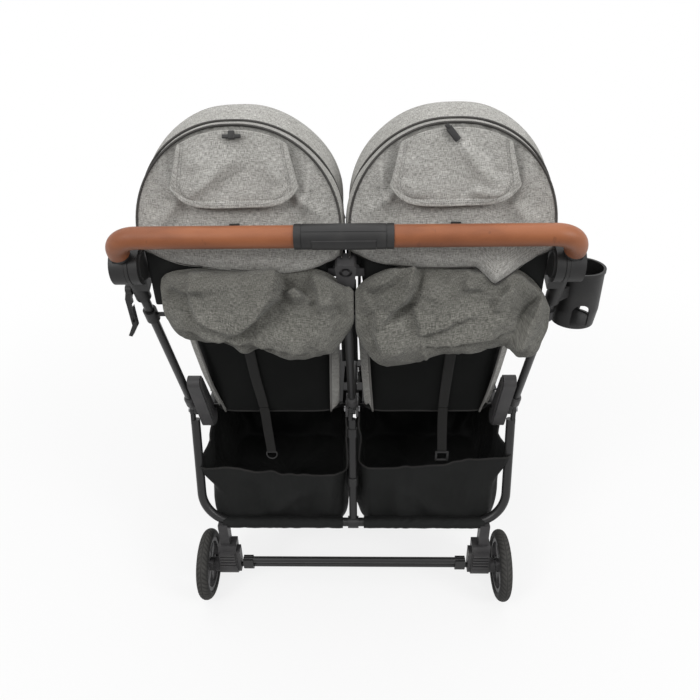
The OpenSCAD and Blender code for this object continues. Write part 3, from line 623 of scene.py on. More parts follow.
@dataclass(frozen=True)
class RibbedWebbing(Finish):
    """Narrow woven strap with ribs across it."""

    base: Colour = (0.0050, 0.0049, 0.0047)
    raised: Colour = (0.0140, 0.0135, 0.0125)
    rib: float = 0.0016

    def mix(self) -> bpy.types.Material:
        """Ribs as relief and a paler crown on each.

        Returns:
            the material
        """
        s = Shader(self.name)
        at = s.place(Chart.CLOTH)
        ribs = (s.axes(at)[1] * (2.0 * math.pi / self.rib)).sine() * 0.5 + 0.5
        fuzz = s.cloud(at, 800.0, 3.0)
        colour = s.tint(ribs * 0.5 + fuzz * 0.4, self.base, self.raised)
        return s.surface({"Base Color": colour, "Roughness": fuzz * 0.2 + 0.62, "Sheen Weight": 0.03,
                          "Specular IOR Level": 0.2,
                          "Normal": s.bump(ribs + fuzz * 0.5, 0.0005, 0.7)})


GREY = MelangeCloth("grey_melange", "cloth_grey")
# Darker copy of the grey melange for the curtains: painted shade, for they hang in the shadow of the handle
# bar and the canopies.
GREY_SHADED = MelangeCloth("grey_melange_soiled", "cloth_grey", Chart.CLOTH, (0.070, 0.069, 0.061),
                           (0.168, 0.165, 0.148), (0.320, 0.314, 0.285))
GREY_PAD = MelangeCloth("grey_melange_pad", "cloth_grey", Chart.OBJECT)
BLACK = PlainCloth("black_cloth", "cloth_black")
BLACK_TAUT = PlainCloth("taut_black_cloth", "cloth_black", shine=0.05)
BLACK_PAD = PlainCloth("black_pad_cloth", "cloth_black", Chart.OBJECT)
PIPING = PlainCloth("dark_piping", "cloth_black", Chart.OBJECT, (0.040, 0.038, 0.036), (0.085, 0.081, 0.076))
BINDING = PlainCloth("black_binding", "cloth_black", Chart.OBJECT, (0.010, 0.0098, 0.0094),
                     (0.026, 0.025, 0.024))
THREAD = PlainCloth("grey_thread", "cloth_grey", Chart.OBJECT, (0.13, 0.128, 0.12), (0.26, 0.25, 0.24))
TAN = Leatherette("tan_leatherette", "leatherette_tan")
TAN_THREAD = PlainCloth("tan_thread", "leatherette_tan", Chart.OBJECT, (0.10, 0.034, 0.012),
                        (0.20, 0.075, 0.03))
TUBE = CoatedTube("black_powder_coat", "frame_black")
DARK_PLASTIC = MouldedPlastic("dark_plastic", "plastic_dark", (0.040, 0.0385, 0.0400), (0.085, 0.083, 0.082))
BLACK_PLASTIC = MouldedPlastic("black_plastic", "plastic_black")
RUBBER = TreadRubber("worn_rubber", "tyre_black")
STEEL = BareSteel("plated_steel", "steel")
WEBBING = RibbedWebbing("black_webbing", "cloth_black")


class Shape:
    """A mesh in the making, in metres and in the stroller's own frame."""

    def __init__(self) -> None:
        """Starts with an empty mesh."""
        self.bm = bmesh.new()
        self.uv = self.bm.loops.layers.uv.new("UVMap")
        self.held = self.bm.verts.layers.float.new("held")
        self.wear = self.bm.verts.layers.float.new("wear")

    @staticmethod
    def rim(verts: Sequence[bmesh.types.BMVert]) -> List[bmesh.types.BMEdge]:
        """The edges that join the given vertices to each other."""
        chosen = set(verts)
        return list(dict.fromkeys(e for v in verts for e in v.link_edges if e.other_vert(v) in chosen))

    def cloth(self, columns: int, rows: int, rule: Rule, flat: Tuple[float, float],
              hold: Optional[Hold] = None) -> "Shape":
        """Adds a grid of cloth whose points a rule puts in place.

        Args:
            columns: faces across
            rows: faces along
            rule: a point for each share across and along
            flat: width and length of the chart in metres
            hold: how firmly a simulation holds each point, from 0 to 1
        Returns:
            this shape
        """
        made = bmesh.ops.create_grid(self.bm, x_segments=columns, y_segments=rows, size=0.5)["verts"]
        share = {v: (v.co.x + 0.5, v.co.y + 0.5) for v in made}
        for face in dict.fromkeys(f for v in made for f in v.link_faces):
            for loop in face.loops:
                u, v = share[loop.vert]
                loop[self.uv].uv = (u * flat[0], v * flat[1])
        for vert, (u, v) in share.items():
            vert.co = rule(u, v)
            vert[self.held] = hold(u, v) if hold else 0.0
        return self

    def tube(self, path: Sequence[Vector], radius: float, sides: int = 10, loop: bool = False) -> "Shape":
        """Sweeps a round section along a path by extrusion.

        Args:
            path: the middle line
            radius: of the section
            sides: of the section
            loop: joins the end to the start
        Returns:
            this shape
        """
        frames = stations_along([*path, path[0]] if loop else path)
        frames = frames[:-1] if loop else frames
        ring = bmesh.ops.create_circle(self.bm, segments=sides, radius=radius, matrix=frames[0])["verts"]
        first = edges = self.rim(ring)
        for before, after in zip(frames, frames[1:]):
            grown = bmesh.ops.extrude_edge_only(self.bm, edges=edges)["geom"]
            ring = [g for g in grown if isinstance(g, bmesh.types.BMVert)]
            bmesh.ops.transform(self.bm, matrix=after @ before.inverted(), verts=ring)
            edges = self.rim(ring)
        if loop:
            bmesh.ops.bridge_loops(self.bm, edges=first + edges)
        else:
            for end in (first, edges):
                bmesh.ops.contextual_create(self.bm, geom=end)
        return self

    def strap(self, path: Sequence[Vector], width: float, across: Vector) -> "Shape":
        """Adds a flat strap along a path.

        Args:
            path: the middle line
            width: of the strap
            across: direction over its width
        Returns:
            this shape
        """
        last = len(path) - 1
        length = sum((b - a).length for a, b in zip(path, path[1:]))
        side = across.normalized() * width

        def rule(u: float, v: float) -> Vector:
            """Point of the strap."""
            i = min(last - 1, int(v * last + 1e-6))
            return path[i].lerp(path[i + 1], v * last - i) + side * (u - 0.5)

        return self.cloth(4, last, rule, (width, length))

    def block(self, size: Sequence[float], place: Matrix, rounding: float, segments: int = 3) -> "Shape":
        """Adds a block with rounded edges.

        Args:
            size: along the three axes
            place: where its middle is and how it is turned
            rounding: radius of the edges
            segments: of the rounding
        Returns:
            this shape
        """
        scale = Matrix.Diagonal((*size, 1.0))
        verts = bmesh.ops.create_cube(self.bm, size=1.0, matrix=place @ scale)["verts"]
        bmesh.ops.bevel(self.bm, geom=self.rim(verts), offset=rounding, offset_type="OFFSET", affect="EDGES",
                        segments=segments, profile=0.5, material=-1, clamp_overlap=True)
        return self

    def turned(self, outline: Sequence[Tuple[float, float]], place: Matrix, steps: int,
               closed: bool = True) -> List[bmesh.types.BMVert]:
        """Spins an outline about the Z of a place.

        Args:
            outline: points as radius and height
            place: the axis
            steps: of the full turn
            closed: joins the outline's last point to its first
        Returns:
            the vertices
        """
        before = set(self.bm.verts)
        verts = [bmesh.ops.create_vert(self.bm, co=place @ Vector((r, 0.0, a)))["vert"][0]
                 for r, a in outline]
        pairs = list(zip(verts, verts[1:])) + ([(verts[-1], verts[0])] if closed else [])
        edges = [self.bm.edges.new(pair) for pair in pairs]
        bmesh.ops.spin(self.bm, geom=[*verts, *edges], cent=place.translation,
                       axis=(place.to_3x3() @ Z_AXIS).normalized(), angle=2.0 * math.pi, steps=steps,
                       use_merge=True)
        return [v for v in self.bm.verts if v not in before]

    def stitches(self, path: Sequence[Vector], length: float, radius: float) -> "Shape":
        """Adds a row of stitches along a path, one for each stretch.

        Args:
            path: the ends of the stretches
            length: share of each stretch that shows thread
            radius: of the thread
        Returns:
            this shape
        """
        for a, b in zip(path, path[1:]):
            turn = Z_AXIS.rotation_difference(b - a).to_matrix().to_4x4()
            size = Matrix.Diagonal((radius, radius, (b - a).length * length / 2.0, 1.0))
            bmesh.ops.create_uvsphere(self.bm, u_segments=6, v_segments=4, radius=1.0,
                                      matrix=Matrix.Translation((a + b) / 2.0) @ turn @ size)
        return self

    def face_away(self, inside: Vector) -> "Shape":
        """Turns the faces of an open sheet so that they look away from a point.

        Args:
            inside: the point
        Returns:
            this shape
        """
        lean = sum((f.calc_center_median() - inside).dot(f.normal) * f.calc_area() for f in self.updated())
        if lean < 0.0:
            bmesh.ops.reverse_faces(self.bm, faces=self.bm.faces[:])
        return self

    def updated(self) -> List[bmesh.types.BMFace]:
        """The faces with fresh normals."""
        self.bm.normal_update()
        return self.bm.faces[:]

    def closed(self) -> "Shape":
        """Merges doubles and points the faces of a closed mesh outwards.

        Returns:
            this shape
        """
        bmesh.ops.remove_doubles(self.bm, verts=self.bm.verts[:], dist=1e-6)
        bmesh.ops.recalc_face_normals(self.bm, faces=self.bm.faces[:])
        return self

    def area(self) -> float:
        """Area of all faces in square metres."""
        return sum(f.calc_area() for f in self.bm.faces)

    def piece(self, name: str, finish: Finish) -> Piece:
        """Makes the mesh an object with a finish.

        Args:
            name: the piece's name
            finish: what it is made of
        Returns:
            the object, not yet riding on anything
        """
        mesh = bpy.data.meshes.new(name)
        self.bm.to_mesh(mesh)
        self.bm.free()
        mesh.polygons.foreach_set("use_smooth", [True] * len(mesh.polygons))
        made = bpy.data.objects.new(name, mesh)
        bpy.context.scene.collection.objects.link(made)
        mesh.materials.append(finish.material())
        log.info("%s: %d faces, %s", name, len(mesh.polygons), finish.name)
        return made


def thicken(piece: Piece, thickness: float, offset: float = -1.0) -> Piece:
    """Gives a sheet its thickness with a live modifier.

    Args:
        piece: the sheet
        thickness: in metres
        offset: -1 inwards, 0 to both sides
    Returns:
        the piece
    """
    made = piece.modifiers.new("thickness", "SOLIDIFY")
    made.thickness, made.offset = thickness, offset
    return piece


def soften(piece: Piece, levels: int = 1) -> Piece:
    """Smooths a piece with a subdivision surface.

    Args:
        piece: what to smooth
        levels: of subdivision
    Returns:
        the piece
    """
    made = piece.modifiers.new("smooth", "SUBSURF")
    made.levels = made.render_levels = levels
    return piece


@dataclass(frozen=True)
class Drape:
    """A short cloth simulation whose result becomes the mesh."""

    frames: int = 28
    growth: float = 0.08
    weight: float = 0.2
    bending: float = 0.4
    reach: float = 0.015
    pressure: float = 0.0

    def settle(self, piece: Piece) -> None:
        """Runs the simulation on a piece that keeps its number of points.

        Args:
            piece: cloth whose "held" attribute says what holds it
        """
        mesh, scene = piece.data, bpy.context.scene
        group = piece.vertex_groups.new(name="held")
        held = mesh.attributes["held"].data if "held" in mesh.attributes else []
        for i, item in enumerate(held):
            if item.value > 0.0:
                group.add([i], item.value, "REPLACE")
        cloth = piece.modifiers.new("cloth", "CLOTH")
        facts = cloth.settings
        facts.quality, facts.mass, facts.air_damping = 5, 0.25, 2.0
        facts.tension_stiffness = facts.compression_stiffness = 18.0
        facts.shear_stiffness, facts.bending_stiffness = 6.0, self.bending
        facts.vertex_group_mass = group.name if held else ""
        facts.shrink_min = -self.growth
        facts.effector_weights.gravity = self.weight
        facts.use_pressure = self.pressure > 0.0
        facts.uniform_pressure_force = self.pressure
        cloth.collision_settings.use_collision = False
        cloth.point_cache.frame_start, cloth.point_cache.frame_end = 1, self.frames
        for number in range(1, self.frames + 1):
            scene.frame_set(number)
        moved = piece.evaluated_get(bpy.context.evaluated_depsgraph_get()).data.vertices
        found = []
        for vert, after in zip(mesh.vertices, moved):
            step = after.co - vert.co
            far = step.length
            share = self.reach * math.tanh(far / self.reach) / far if far > 1e-9 else 1.0
            found.append(vert.co + step * share)
        piece.modifiers.remove(cloth)
        piece.vertex_groups.remove(group)
        scene.frame_set(1)
        for vert, co in zip(mesh.vertices, found):
            vert.co = co


@dataclass(frozen=True)
class Studio:
    """White sweep, soft lamps and the camera that the stroller was photographed with."""

    eye: Tuple[float, float, float] = (0.0335, -1.0769, 1.3223)
    yaw: float = 1.755
    pitch: float = 30.834
    roll: float = -1.121
    focal_px: float = 652.48
    frame_px: float = 700.0
    sensor_mm: float = 36.0
    ambient: float = 0.34
    floor_size: float = 60.0
    floor_glow: float = 0.80
    floor_lit: Colour = (0.30, 0.30, 0.30)
    floor_seen: Colour = (0.86, 0.86, 0.86)

    def build(self) -> None:
        """Makes camera, lamps, sky and floor."""
        bpy.context.scene.view_settings.view_transform = "Standard"
        self.camera()
        self.sky()
        self.floor()
        self.lamp("overhead", (0.0, -0.2, 3.6), (0.0, -0.1, 0.6), 5.0, 92.0)
        self.lamp("rear_left", (-2.2, -2.6, 3.0), (0.0, 0.0, 0.9), 1.2, 54.0)
        self.lamp("rear_right", (2.8, -2.0, 2.4), (0.0, 0.0, 0.95), 1.2, 52.0)

    def camera(self) -> None:
        """Camera from the fitted place and angles."""
        yaw, pitch, roll = (math.radians(a) for a in (self.yaw, self.pitch, self.roll))
        ahead = Vector((-math.sin(yaw) * math.cos(pitch), math.cos(yaw) * math.cos(pitch), -math.sin(pitch)))
        level = Vector((math.cos(yaw), math.sin(yaw), 0.0))
        upright = level.cross(ahead)
        right = level * math.cos(roll) + upright * math.sin(roll)
        up = upright * math.cos(roll) - level * math.sin(roll)
        data = bpy.data.cameras.new("camera")
        data.sensor_width, data.lens = self.sensor_mm, self.sensor_mm * self.focal_px / self.frame_px
        camera = bpy.data.objects.new("camera", data)
        camera.matrix_world = Matrix.Translation(self.eye) @ Matrix((right, up, -ahead)).transposed().to_4x4()
        bpy.context.scene.collection.objects.link(camera)
        bpy.context.scene.camera = camera

    def lamp(self, name: str, at: Sequence[float], aim: Sequence[float], size: float, watts: float) -> None:
        """Square soft lamp.

        Args:
            name: of the lamp
            at: its place
            aim: what it looks at
            size: of its side
            watts: its power
        """
        data = bpy.data.lights.new(name, "AREA")
        data.shape, data.size, data.energy = "SQUARE", size, watts
        made = bpy.data.objects.new(name, data)
        made.location = at
        made.rotation_euler = (Vector(aim) - Vector(at)).to_track_quat("-Z", "Y").to_euler()
        bpy.context.scene.collection.objects.link(made)

    @staticmethod
    def seen(sheet: NodeSheet) -> Sock:
        """1 on rays from the camera, mirrors and glass, 0 on light that reaches the object.

        Args:
            sheet: where the nodes go
        Returns:
            the mask
        """
        path = sheet.node("ShaderNodeLightPath", {}, {}, "Is Camera Ray")
        outputs = path.socket.node.outputs
        total = path + Sock(sheet, outputs["Is Glossy Ray"]) + Sock(sheet, outputs["Is Transmission Ray"])
        return total.above(0.5, 0.2)

    def sky(self) -> None:
        """White behind the object and a plainer level as light."""
        world = bpy.data.worlds.new("studio")
        world.use_nodes = True
        bpy.context.scene.world = world
        sheet = NodeSheet(world.node_tree)
        strength = self.seen(sheet) * (1.0 - self.ambient) + self.ambient
        light = sheet.node("ShaderNodeBackground", {}, {"Color": (1.0, 1.0, 1.0, 1.0), "Strength": strength})
        sheet.node("ShaderNodeOutputWorld", {}, {"Surface": light})

    def floor(self) -> None:
        """Pale floor that keeps the shadow."""
        shape = Shape()
        bmesh.ops.create_grid(shape.bm, x_segments=2, y_segments=2, size=self.floor_size / 2)
        s = Shader("pale_floor")
        seen = self.seen(s)
        far = s.node("ShaderNodeVectorMath", {"operation": "LENGTH"}, {0: s.place(Chart.OBJECT)}, "Value")
        shade = s.tint(seen, self.floor_lit, self.floor_seen)
        paint = s.node("ShaderNodeBsdfDiffuse", {}, {"Color": shade})
        glow = s.node("ShaderNodeEmission", {}, {"Color": (1.0, 1.0, 1.0, 1.0), "Strength": 1.0})
        mixed = s.node("ShaderNodeMixShader", {}, {
            0: seen * (far.above(1.5, 1.6) * (1.0 - self.floor_glow) + self.floor_glow), 1: paint, 2: glow})
        s.node("ShaderNodeOutputMaterial", {}, {"Surface": mixed})
        mesh = bpy.data.meshes.new("floor")
        shape.bm.to_mesh(mesh)
        shape.bm.free()
        mesh.materials.append(s.material)
        floor = bpy.data.objects.new("floor", mesh)
        bpy.context.scene.collection.objects.link(floor)


@dataclass(frozen=True)
class HardParts:
    """Finishes of the rigid nodes that show as they are."""

    def build(self) -> None:
        """Dresses each rigid node by its name."""
        both = [Side.LEFT.word, Side.RIGHT.word]
        groups: Dict[Finish, List[str]] = {
            TUBE: ["front_leg_center", "front_cross_tube", "upper_tube_center", "rear_tube",
                   "rear_center_tube", "rear_axle", "handle_tubes", "brake_bar",
                   *(f"{n}_{s}" for n in ("front_leg", "upper_tube") for s in both)],
            DARK_PLASTIC: ["joint_housing_center", "center_bracket", "lock_collars",
                           *(f"{n}_{s}" for n in ("joint_housing", "axle_bracket", "rear_rim")
                             for s in both)],
            BLACK_PLASTIC: ["seat_boards", "fold_housing", "harness_buckles", "canopy_mounts", "cup_holder",
                            "cup_clamp", "fold_trigger", "storage_latch",
                            *(f"{n}_{s}" for n in ("caster_housing", "hub_inner", "hub_outer", "fork")
                              for s in both)],
            TAN: [f"grip_{s}" for s in both],
            STEEL: ["pivot_bolts"],
        }
        for finish, names in groups.items():
            for name in names:
                node = frame["nodes"][name]
                for i in range(max(1, len(node.material_slots))):
                    if len(node.material_slots) <= i:
                        node.data.materials.append(None)
                    node.material_slots[i].material = finish.material()
                log.info("%s: %s", name, finish.name)


@dataclass
class Canopy:
    """One canopy: hood cloth over two bows, rear panel with rolled hem, peek flap, piping and zip pull."""

    side: Side
    seed: float
    middle_x: float = 0.1655
    half_w: float = 0.1610
    corner: float = 0.154
    front_r: float = 0.3470
    rear_r: float = 0.3280
    rear_angle: float = 92.0
    front_angle: float = 25.0
    hem_z: float = 0.872
    roll_z: float = 0.922
    roll_r: float = 0.017
    panel_top: float = 1.1190
    panel_y: Tuple[float, float] = (-0.128, -0.0846)
    panel_half: float = 0.1605
    bow_x: float = 0.167
    flap_half: Tuple[float, float] = (0.098, 0.082)
    flap_low: float = 1.007
    flap_hinge: float = 1.084
    flap_off: float = 0.0072
    flap_flat: Tuple[float, float] = (0.19, 0.125)
    flap_drop: float = 0.007
    hood_foot: Tuple[float, float] = (0.172, 0.233)
    hem_share: float = 0.18
    hem_turn: float = 175.0
    rear_wire: Tuple[float, float, float, float] = (0.3225, 0.143, 0.128, 0.094)
    front_wire: Tuple[float, float, float, float] = (0.340, 0.147, 0.132, 0.010)
    front_wire_angle: float = 27.0
    wire_r: Tuple[float, float] = (0.004, 0.003)
    pin_half: float = 0.147
    seam_r: float = 0.0019
    hem_cord_r: float = 0.0016
    edge_cord_r: float = 0.0026
    thread_r: float = 0.00045

    def build(self) -> None:
        """Makes every piece of the canopy."""
        self.hood()
        self.panel()
        self.band()
        self.bows()
        self.piping()
        self.flap()
        self.trim()

    def name(self, word: str) -> str:
        """A piece's name with its side."""
        return f"{word}_{self.side.word}"

    def arch(self, k: float, r: float, half: float, corner: float, foot: float) -> Tuple[float, float]:
        """Point of the arch across the seat.

        Args:
            k: share of the way round, from the inner foot to the outer one
            r: height over the pivot
            half: half width
            corner: radius of the shoulders
            foot: how far above the pivot the sides start
        Returns:
            distance from the canopy's middle and from the pivot
        """
        leg, bend, flat = r - corner - foot, corner * math.pi / 2.0, half - corner
        total = leg + bend + flat
        s = abs(2.0 * k - 1.0) * total
        sign = math.copysign(1.0, 2.0 * k - 1.0)
        if s < flat:
            return sign * s, r
        if s < flat + bend:
            a = (s - flat) / corner
            return sign * (flat + corner * math.sin(a)), r - corner * (1.0 - math.cos(a))
        return sign * half, r - corner - (s - flat - bend)

    def arch_length(self, r: float, half: float, corner: float, foot: float) -> float:
        """Length of the arch from foot to foot."""
        return 2.0 * (r - corner - foot + corner * math.pi / 2.0 + half - corner)

    def swing(self, lateral: float, r: float, degrees: float) -> Vector:
        """Point at an angle about the canopy's pivot.

        Args:
            lateral: from the canopy's middle
            r: from the pivot
            degrees: up from level ahead
        Returns:
            the point
        """
        a = math.radians(degrees)
        return self.side.point(self.middle_x + lateral, HOOD_PIVOT.y + r * math.cos(a),
                               HOOD_PIVOT.z + r * math.sin(a))

    def hood_point(self, u: float, v: float) -> Vector:
        """Point of the hood.

        Args:
            u: share across
            v: from the rear bow to the front edge
        Returns:
            the point
        """
        open_ = ease(0.0, 0.16, v)
        r, half = lerp(self.rear_r, self.front_r, open_), lerp(self.panel_half, self.half_w, open_)
        foot = lerp(*self.hood_foot, ease(0.0, 0.5, v))
        lateral, reach = self.arch(u, r, half, self.corner, foot)
        top = ease(0.25, 0.9, (reach - foot) / (r - foot))
        slack = 0.0060 * math.sin(math.pi * min(1.0, max(0.0, (v - 0.05) / 0.95))) * top
        slack += 0.0016 * top * ripple(u, v, self.seed, (9.0, 2.2))
        slack += 0.0014 * ripple(u, v, self.seed + 5.0, (5.0, 7.0))
        degrees = lerp(self.rear_angle, self.front_angle, v)
        return self.swing(lateral * (1.0 - slack * 0.6), reach - slack, degrees)

    def hood(self) -> None:
        """Continuous hood cloth between its bows."""
        width = self.arch_length(self.front_r, self.half_w, self.corner, 0.205)
        length = math.radians(self.rear_angle - self.front_angle) * self.front_r
        shape = Shape().cloth(84, 44, self.hood_point, (width, length))
        area = min(shape.area(), width * length)
        piece = shape.face_away(self.swing(0.0, 0.1, 60.0)).piece(self.name("hood_cloth"), GREY)
        soften(thicken(piece, HOOD_CLOTH))
        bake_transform(piece)
        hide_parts(f"canopy_front_{self.side.word}")
        self.name("rear_bow")
        self.name("front_bow")

    def panel_half_at(self, z: float) -> float:
        """Half width of the rear panel at a height.

        Args:
            z: the height
        Returns:
            the half width
        """
        spring = self.panel_top - self.corner
        rise = max(0.0, z - spring)
        return self.panel_half - self.corner + math.sqrt(max(0.0, self.corner ** 2 - rise * rise))

    def panel_face(self, s: float, z: float) -> Vector:
        """Point of the taut rear panel.

        Args:
            s: from -1 to 1 across
            z: the height
        Returns:
            the point on the right hand side
        """
        v = (z - self.hem_z) / (self.panel_top - self.hem_z)
        puff = 0.011 * math.sin(math.pi * min(1.0, max(0.0, v))) + 0.012 * hill(v, 0.1, 0.22)
        y = lerp(self.panel_y[0], self.panel_y[1], v) - puff * (1.0 - s * s) ** 0.8
        return Vector((self.middle_x + s * self.panel_half_at(z), y, z))

    def hem_at(self, s: float) -> float:
        """Height at which the hem starts to roll: higher at both ends, with one deep fold on the right.

        Args:
            s: from -1 to 1 across
        Returns:
            the height
        """
        z = self.roll_z + 0.014 * s ** 4 + (0.006 * s if self.side is Side.LEFT else 0.0)
        if self.side is Side.LEFT:
            return z - 0.006 * hill(s, -0.45, 0.4)
        return z - 0.026 * self.droop(s)

    @staticmethod
    def droop(s: float) -> float:
        """Shape of the corner that hangs from the right hem, from 0 beside it to 1 at its tip."""
        return max(0.0, 1.0 - abs(s - 0.44) / (0.20 if s < 0.44 else 0.34)) ** 1.2

    def panel_point(self, u: float, v: float) -> Vector:
        """Point of the rear panel: its lowest stretch rolls under as the hem.

        Args:
            u: share across
            v: from the hem's inner edge up to the bow
        Returns:
            the point
        """
        s, turn = 2.0 * u - 1.0, self.hem_share
        if v >= turn:
            rise = math.sin(math.pi / 2.0 * (v - turn) / (1.0 - turn))
            p = self.panel_face(s, lerp(self.hem_at(s), self.panel_top - 0.001, rise))
        else:
            a = (1.0 - v / turn) * math.radians(self.hem_turn)
            p = self.panel_face(s, self.hem_at(s))
            p.y += self.roll_r * (1.0 - math.cos(a)) * (0.7 + 0.7 * (1.0 - s * s))
            p.z -= self.roll_r * math.sin(a) * (0.45 + 0.75 * (1.0 - s * s))
        if self.side is Side.RIGHT:
            p.y -= 0.017 * self.droop(s) * hill(v, turn * 0.75, 0.16)
        loose = (1.0 - s ** 4) * ease(0.0, 0.1, 1.0 - v)
        p.y -= loose * (0.004 * ripple(u, v, self.seed + 2.0, (4.0, 3.0))
                        + 0.0025 * ripple(u, v, self.seed + 9.0, (11.0, 6.0)))
        for start, end, high in self.panel_folds():
            p.y -= loose * high * crease(u, v, start, end, 0.024)
        return self.side.point(p.x, p.y, p.z)

    @staticmethod
    def panel_folds() -> List[Crease]:
        """Creases from both edges of the panel, u counted from the middle outwards.

        Returns:
            start, end and height of each
        """
        return [((0.03, 0.62), (0.19, 0.40), 0.010), ((0.07, 0.34), (0.22, 0.47), 0.009),
                ((0.12, 0.24), (0.21, 0.38), -0.007), ((0.80, 0.42), (0.97, 0.62), 0.009),
                ((0.78, 0.44), (0.91, 0.26), 0.010), ((0.72, 0.40), (0.82, 0.26), -0.007)]

    def panel(self) -> None:
        """Rear panel from the rear bow down to its hem, settled as loose cloth."""
        flat = (2.0 * self.panel_half + 0.02, 0.32)

        def hold(u: float, v: float) -> float:
            """Sewn to the bow and to the hem's inner edge."""
            return 1.0 if v > 0.96 or v < 0.015 or abs(2.0 * u - 1.0) > 0.965 else 0.0

        shape = Shape().cloth(72, 60, self.panel_point, flat, hold)
        area = min(shape.area(), flat[0] * flat[1])
        inside = self.side.point(self.middle_x, 0.1, 1.0)
        piece = shape.face_away(inside).piece(self.name("rear_panel"), GREY)
        Drape(frames=22, growth=0.035, weight=0.25, bending=0.25, reach=0.006).settle(piece)
        soften(thicken(piece, PANEL_CLOTH))
        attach(piece, "upper_frame")
        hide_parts(f"canopy_rear_{self.side.word}")
        self.name("rear_bow")

    def panel_edge(self, k: float, inset: float, foot: float) -> Vector:
        """Point on the face of the panel, a little inside its arched edge.

        Args:
            k: share of the way round the arch
            inset: distance from the edge
            foot: how far above the pivot the sides start
        Returns:
            the point before it is put on its side
        """
        lateral, up = self.arch(k, self.panel_top - HOOD_PIVOT.z - inset, self.panel_half - inset,
                                self.corner - inset, foot)
        z = HOOD_PIVOT.z + up
        return self.panel_face(lateral / self.panel_half_at(z), z)

    def band(self) -> None:
        """Band of cloth round the arch that joins the hood to the edge of the rear panel."""
        foot, widest, slack = 0.125, 0.043, 0.0047
        flat = (self.arch_length(self.rear_r, self.panel_half, self.corner, foot), widest)

        def rule(u: float, v: float) -> Vector:
            """Point of the band.

            Args:
                u: share round the arch
                v: from the hood's seam back to the panel's
            Returns:
                the point
            """
            lateral, reach = self.arch(u, self.rear_r, self.panel_half, self.corner, foot)
            edge = self.panel_edge(u, 0.0005, foot)
            p = self.swing(lateral, reach, self.rear_angle).lerp(self.side.point(edge.x, edge.y, edge.z), v)
            inner = 1.0 - ease(0.20, 0.30, u)
            p.x -= self.side.value * slack * inner * math.sin(math.pi * v) * ease(0.0, 0.05, u)
            return p

        shape = Shape().cloth(96, 12, rule, flat)
        area = min(shape.area(), flat[0] * flat[1])
        piece = shape.face_away(self.swing(0.0, 0.1, self.rear_angle)).piece(self.name("side_band"), GREY)
        soften(thicken(piece, PANEL_CLOTH))
        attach(piece, "upper_frame")
        self.name("rear_bow")

    def bow_path(self, r: float, half: float, corner: float, foot: float, degrees: float) -> List[Vector]:
        """Middle line of a bow wire.

        Args:
            r: height over the pivot
            half: half width
            corner: radius of the shoulders
            foot: how far above the pivot the sides start
            degrees: angle about the pivot
        Returns:
            its points
        """
        shift = self.bow_x - self.middle_x if foot < 0.095 else 0.0
        points = [self.arch(i / 64, r, half, corner, foot) for i in range(65)]
        return [self.swing(x + shift, up, degrees) for x, up in points]

    def bows(self) -> None:
        """Wire bows under the cloth, with the front one's eyes on the pivot pins."""
        rear = Shape().tube(self.bow_path(*self.rear_wire, self.rear_angle), self.wire_r[0])
        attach(rear.closed().piece(self.name("rear_bow"), TUBE), "upper_frame")
        front = Shape().tube(self.bow_path(*self.front_wire, self.front_wire_angle), self.wire_r[1])
        outline = [(0.0045, -0.003), (0.0080, -0.003), (0.0080, 0.003), (0.0045, 0.003)]
        for way in (-1.0, 1.0):
            pin = self.swing(self.bow_x - self.middle_x + way * self.pin_half, 0.0, 0.0)
            front.turned(outline, Matrix.Translation(pin) @ Matrix.Rotation(math.pi / 2, 4, "Y"), 28)
        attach(front.closed().piece(self.name("front_bow"), TUBE), f"canopy_front_{self.side.word}")

    def piping(self) -> None:
        """Corded seams: along both edges of the band, round the hem and on the hood's front edge."""
        seams = Shape()
        seams.tube(self.bow_path(self.rear_r + 0.0010, self.panel_half + 0.0012, self.corner, 0.140,
                                 self.rear_angle), self.seam_r, 8)
        arch = [self.panel_edge(i / 64, 0.0015, 0.130) for i in range(65)]
        seams.tube([self.side.point(p.x, p.y - 0.0010, p.z) for p in arch], self.seam_r, 8)
        hem = [self.panel_point(i / 60, 0.112) for i in range(1, 60)]
        seams.tube(hem, self.hem_cord_r, 8)
        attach(seams.closed().piece(self.name("seam_piping"), PIPING), "upper_frame")
        edge = Shape().tube([self.hood_point(i / 72, 1.0) for i in range(73)], self.edge_cord_r, 8)
        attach(edge.closed().piece(self.name("front_piping"), PIPING), f"canopy_front_{self.side.word}")

    def flap_point(self, u: float, v: float) -> Vector:
        """Point of the peek flap.

        Args:
            u: share across
            v: from its free lower edge to its sewn top
        Returns:
            the point
        """
        s = 2.0 * u - 1.0
        x = s * lerp(*self.flap_half, v)
        rise = math.sqrt(self.corner ** 2 - max(0.0, abs(x) - self.panel_half + self.corner) ** 2)
        top = self.panel_top - self.corner + rise - self.flap_drop
        z = lerp(self.flap_low + 0.026 * abs(s) ** 6 - 0.003 * math.sin(math.pi * u), top, v)
        p = self.panel_face(x / self.panel_half_at(z), z)
        free = ease(0.0, 0.5, 1.0 - v)
        wave = 0.55 + 0.45 * math.sin(2.4 * math.pi * u + self.seed)
        lift = 0.0050 * free * wave * (1.0 - 0.6 * abs(s) ** 3)
        lift += 0.0018 * ripple(u, v, self.seed + 3.0, (5.0, 4.0)) * ease(0.0, 0.2, 1.0 - v)
        for start, end, high in self.flap_folds():
            lift += high * crease(u, v, start, end, 0.075)
        hem = max(ease(0.885, 0.9, abs(s)), ease(0.0, 0.02, 0.085 - v))
        lift += 0.0012 * hem - 0.0010 * max(hill(abs(s), 0.885, 0.012), hill(v, 0.09, 0.014))
        return self.side.point(self.middle_x + x, p.y - self.flap_off - max(-0.003, lift), p.z)

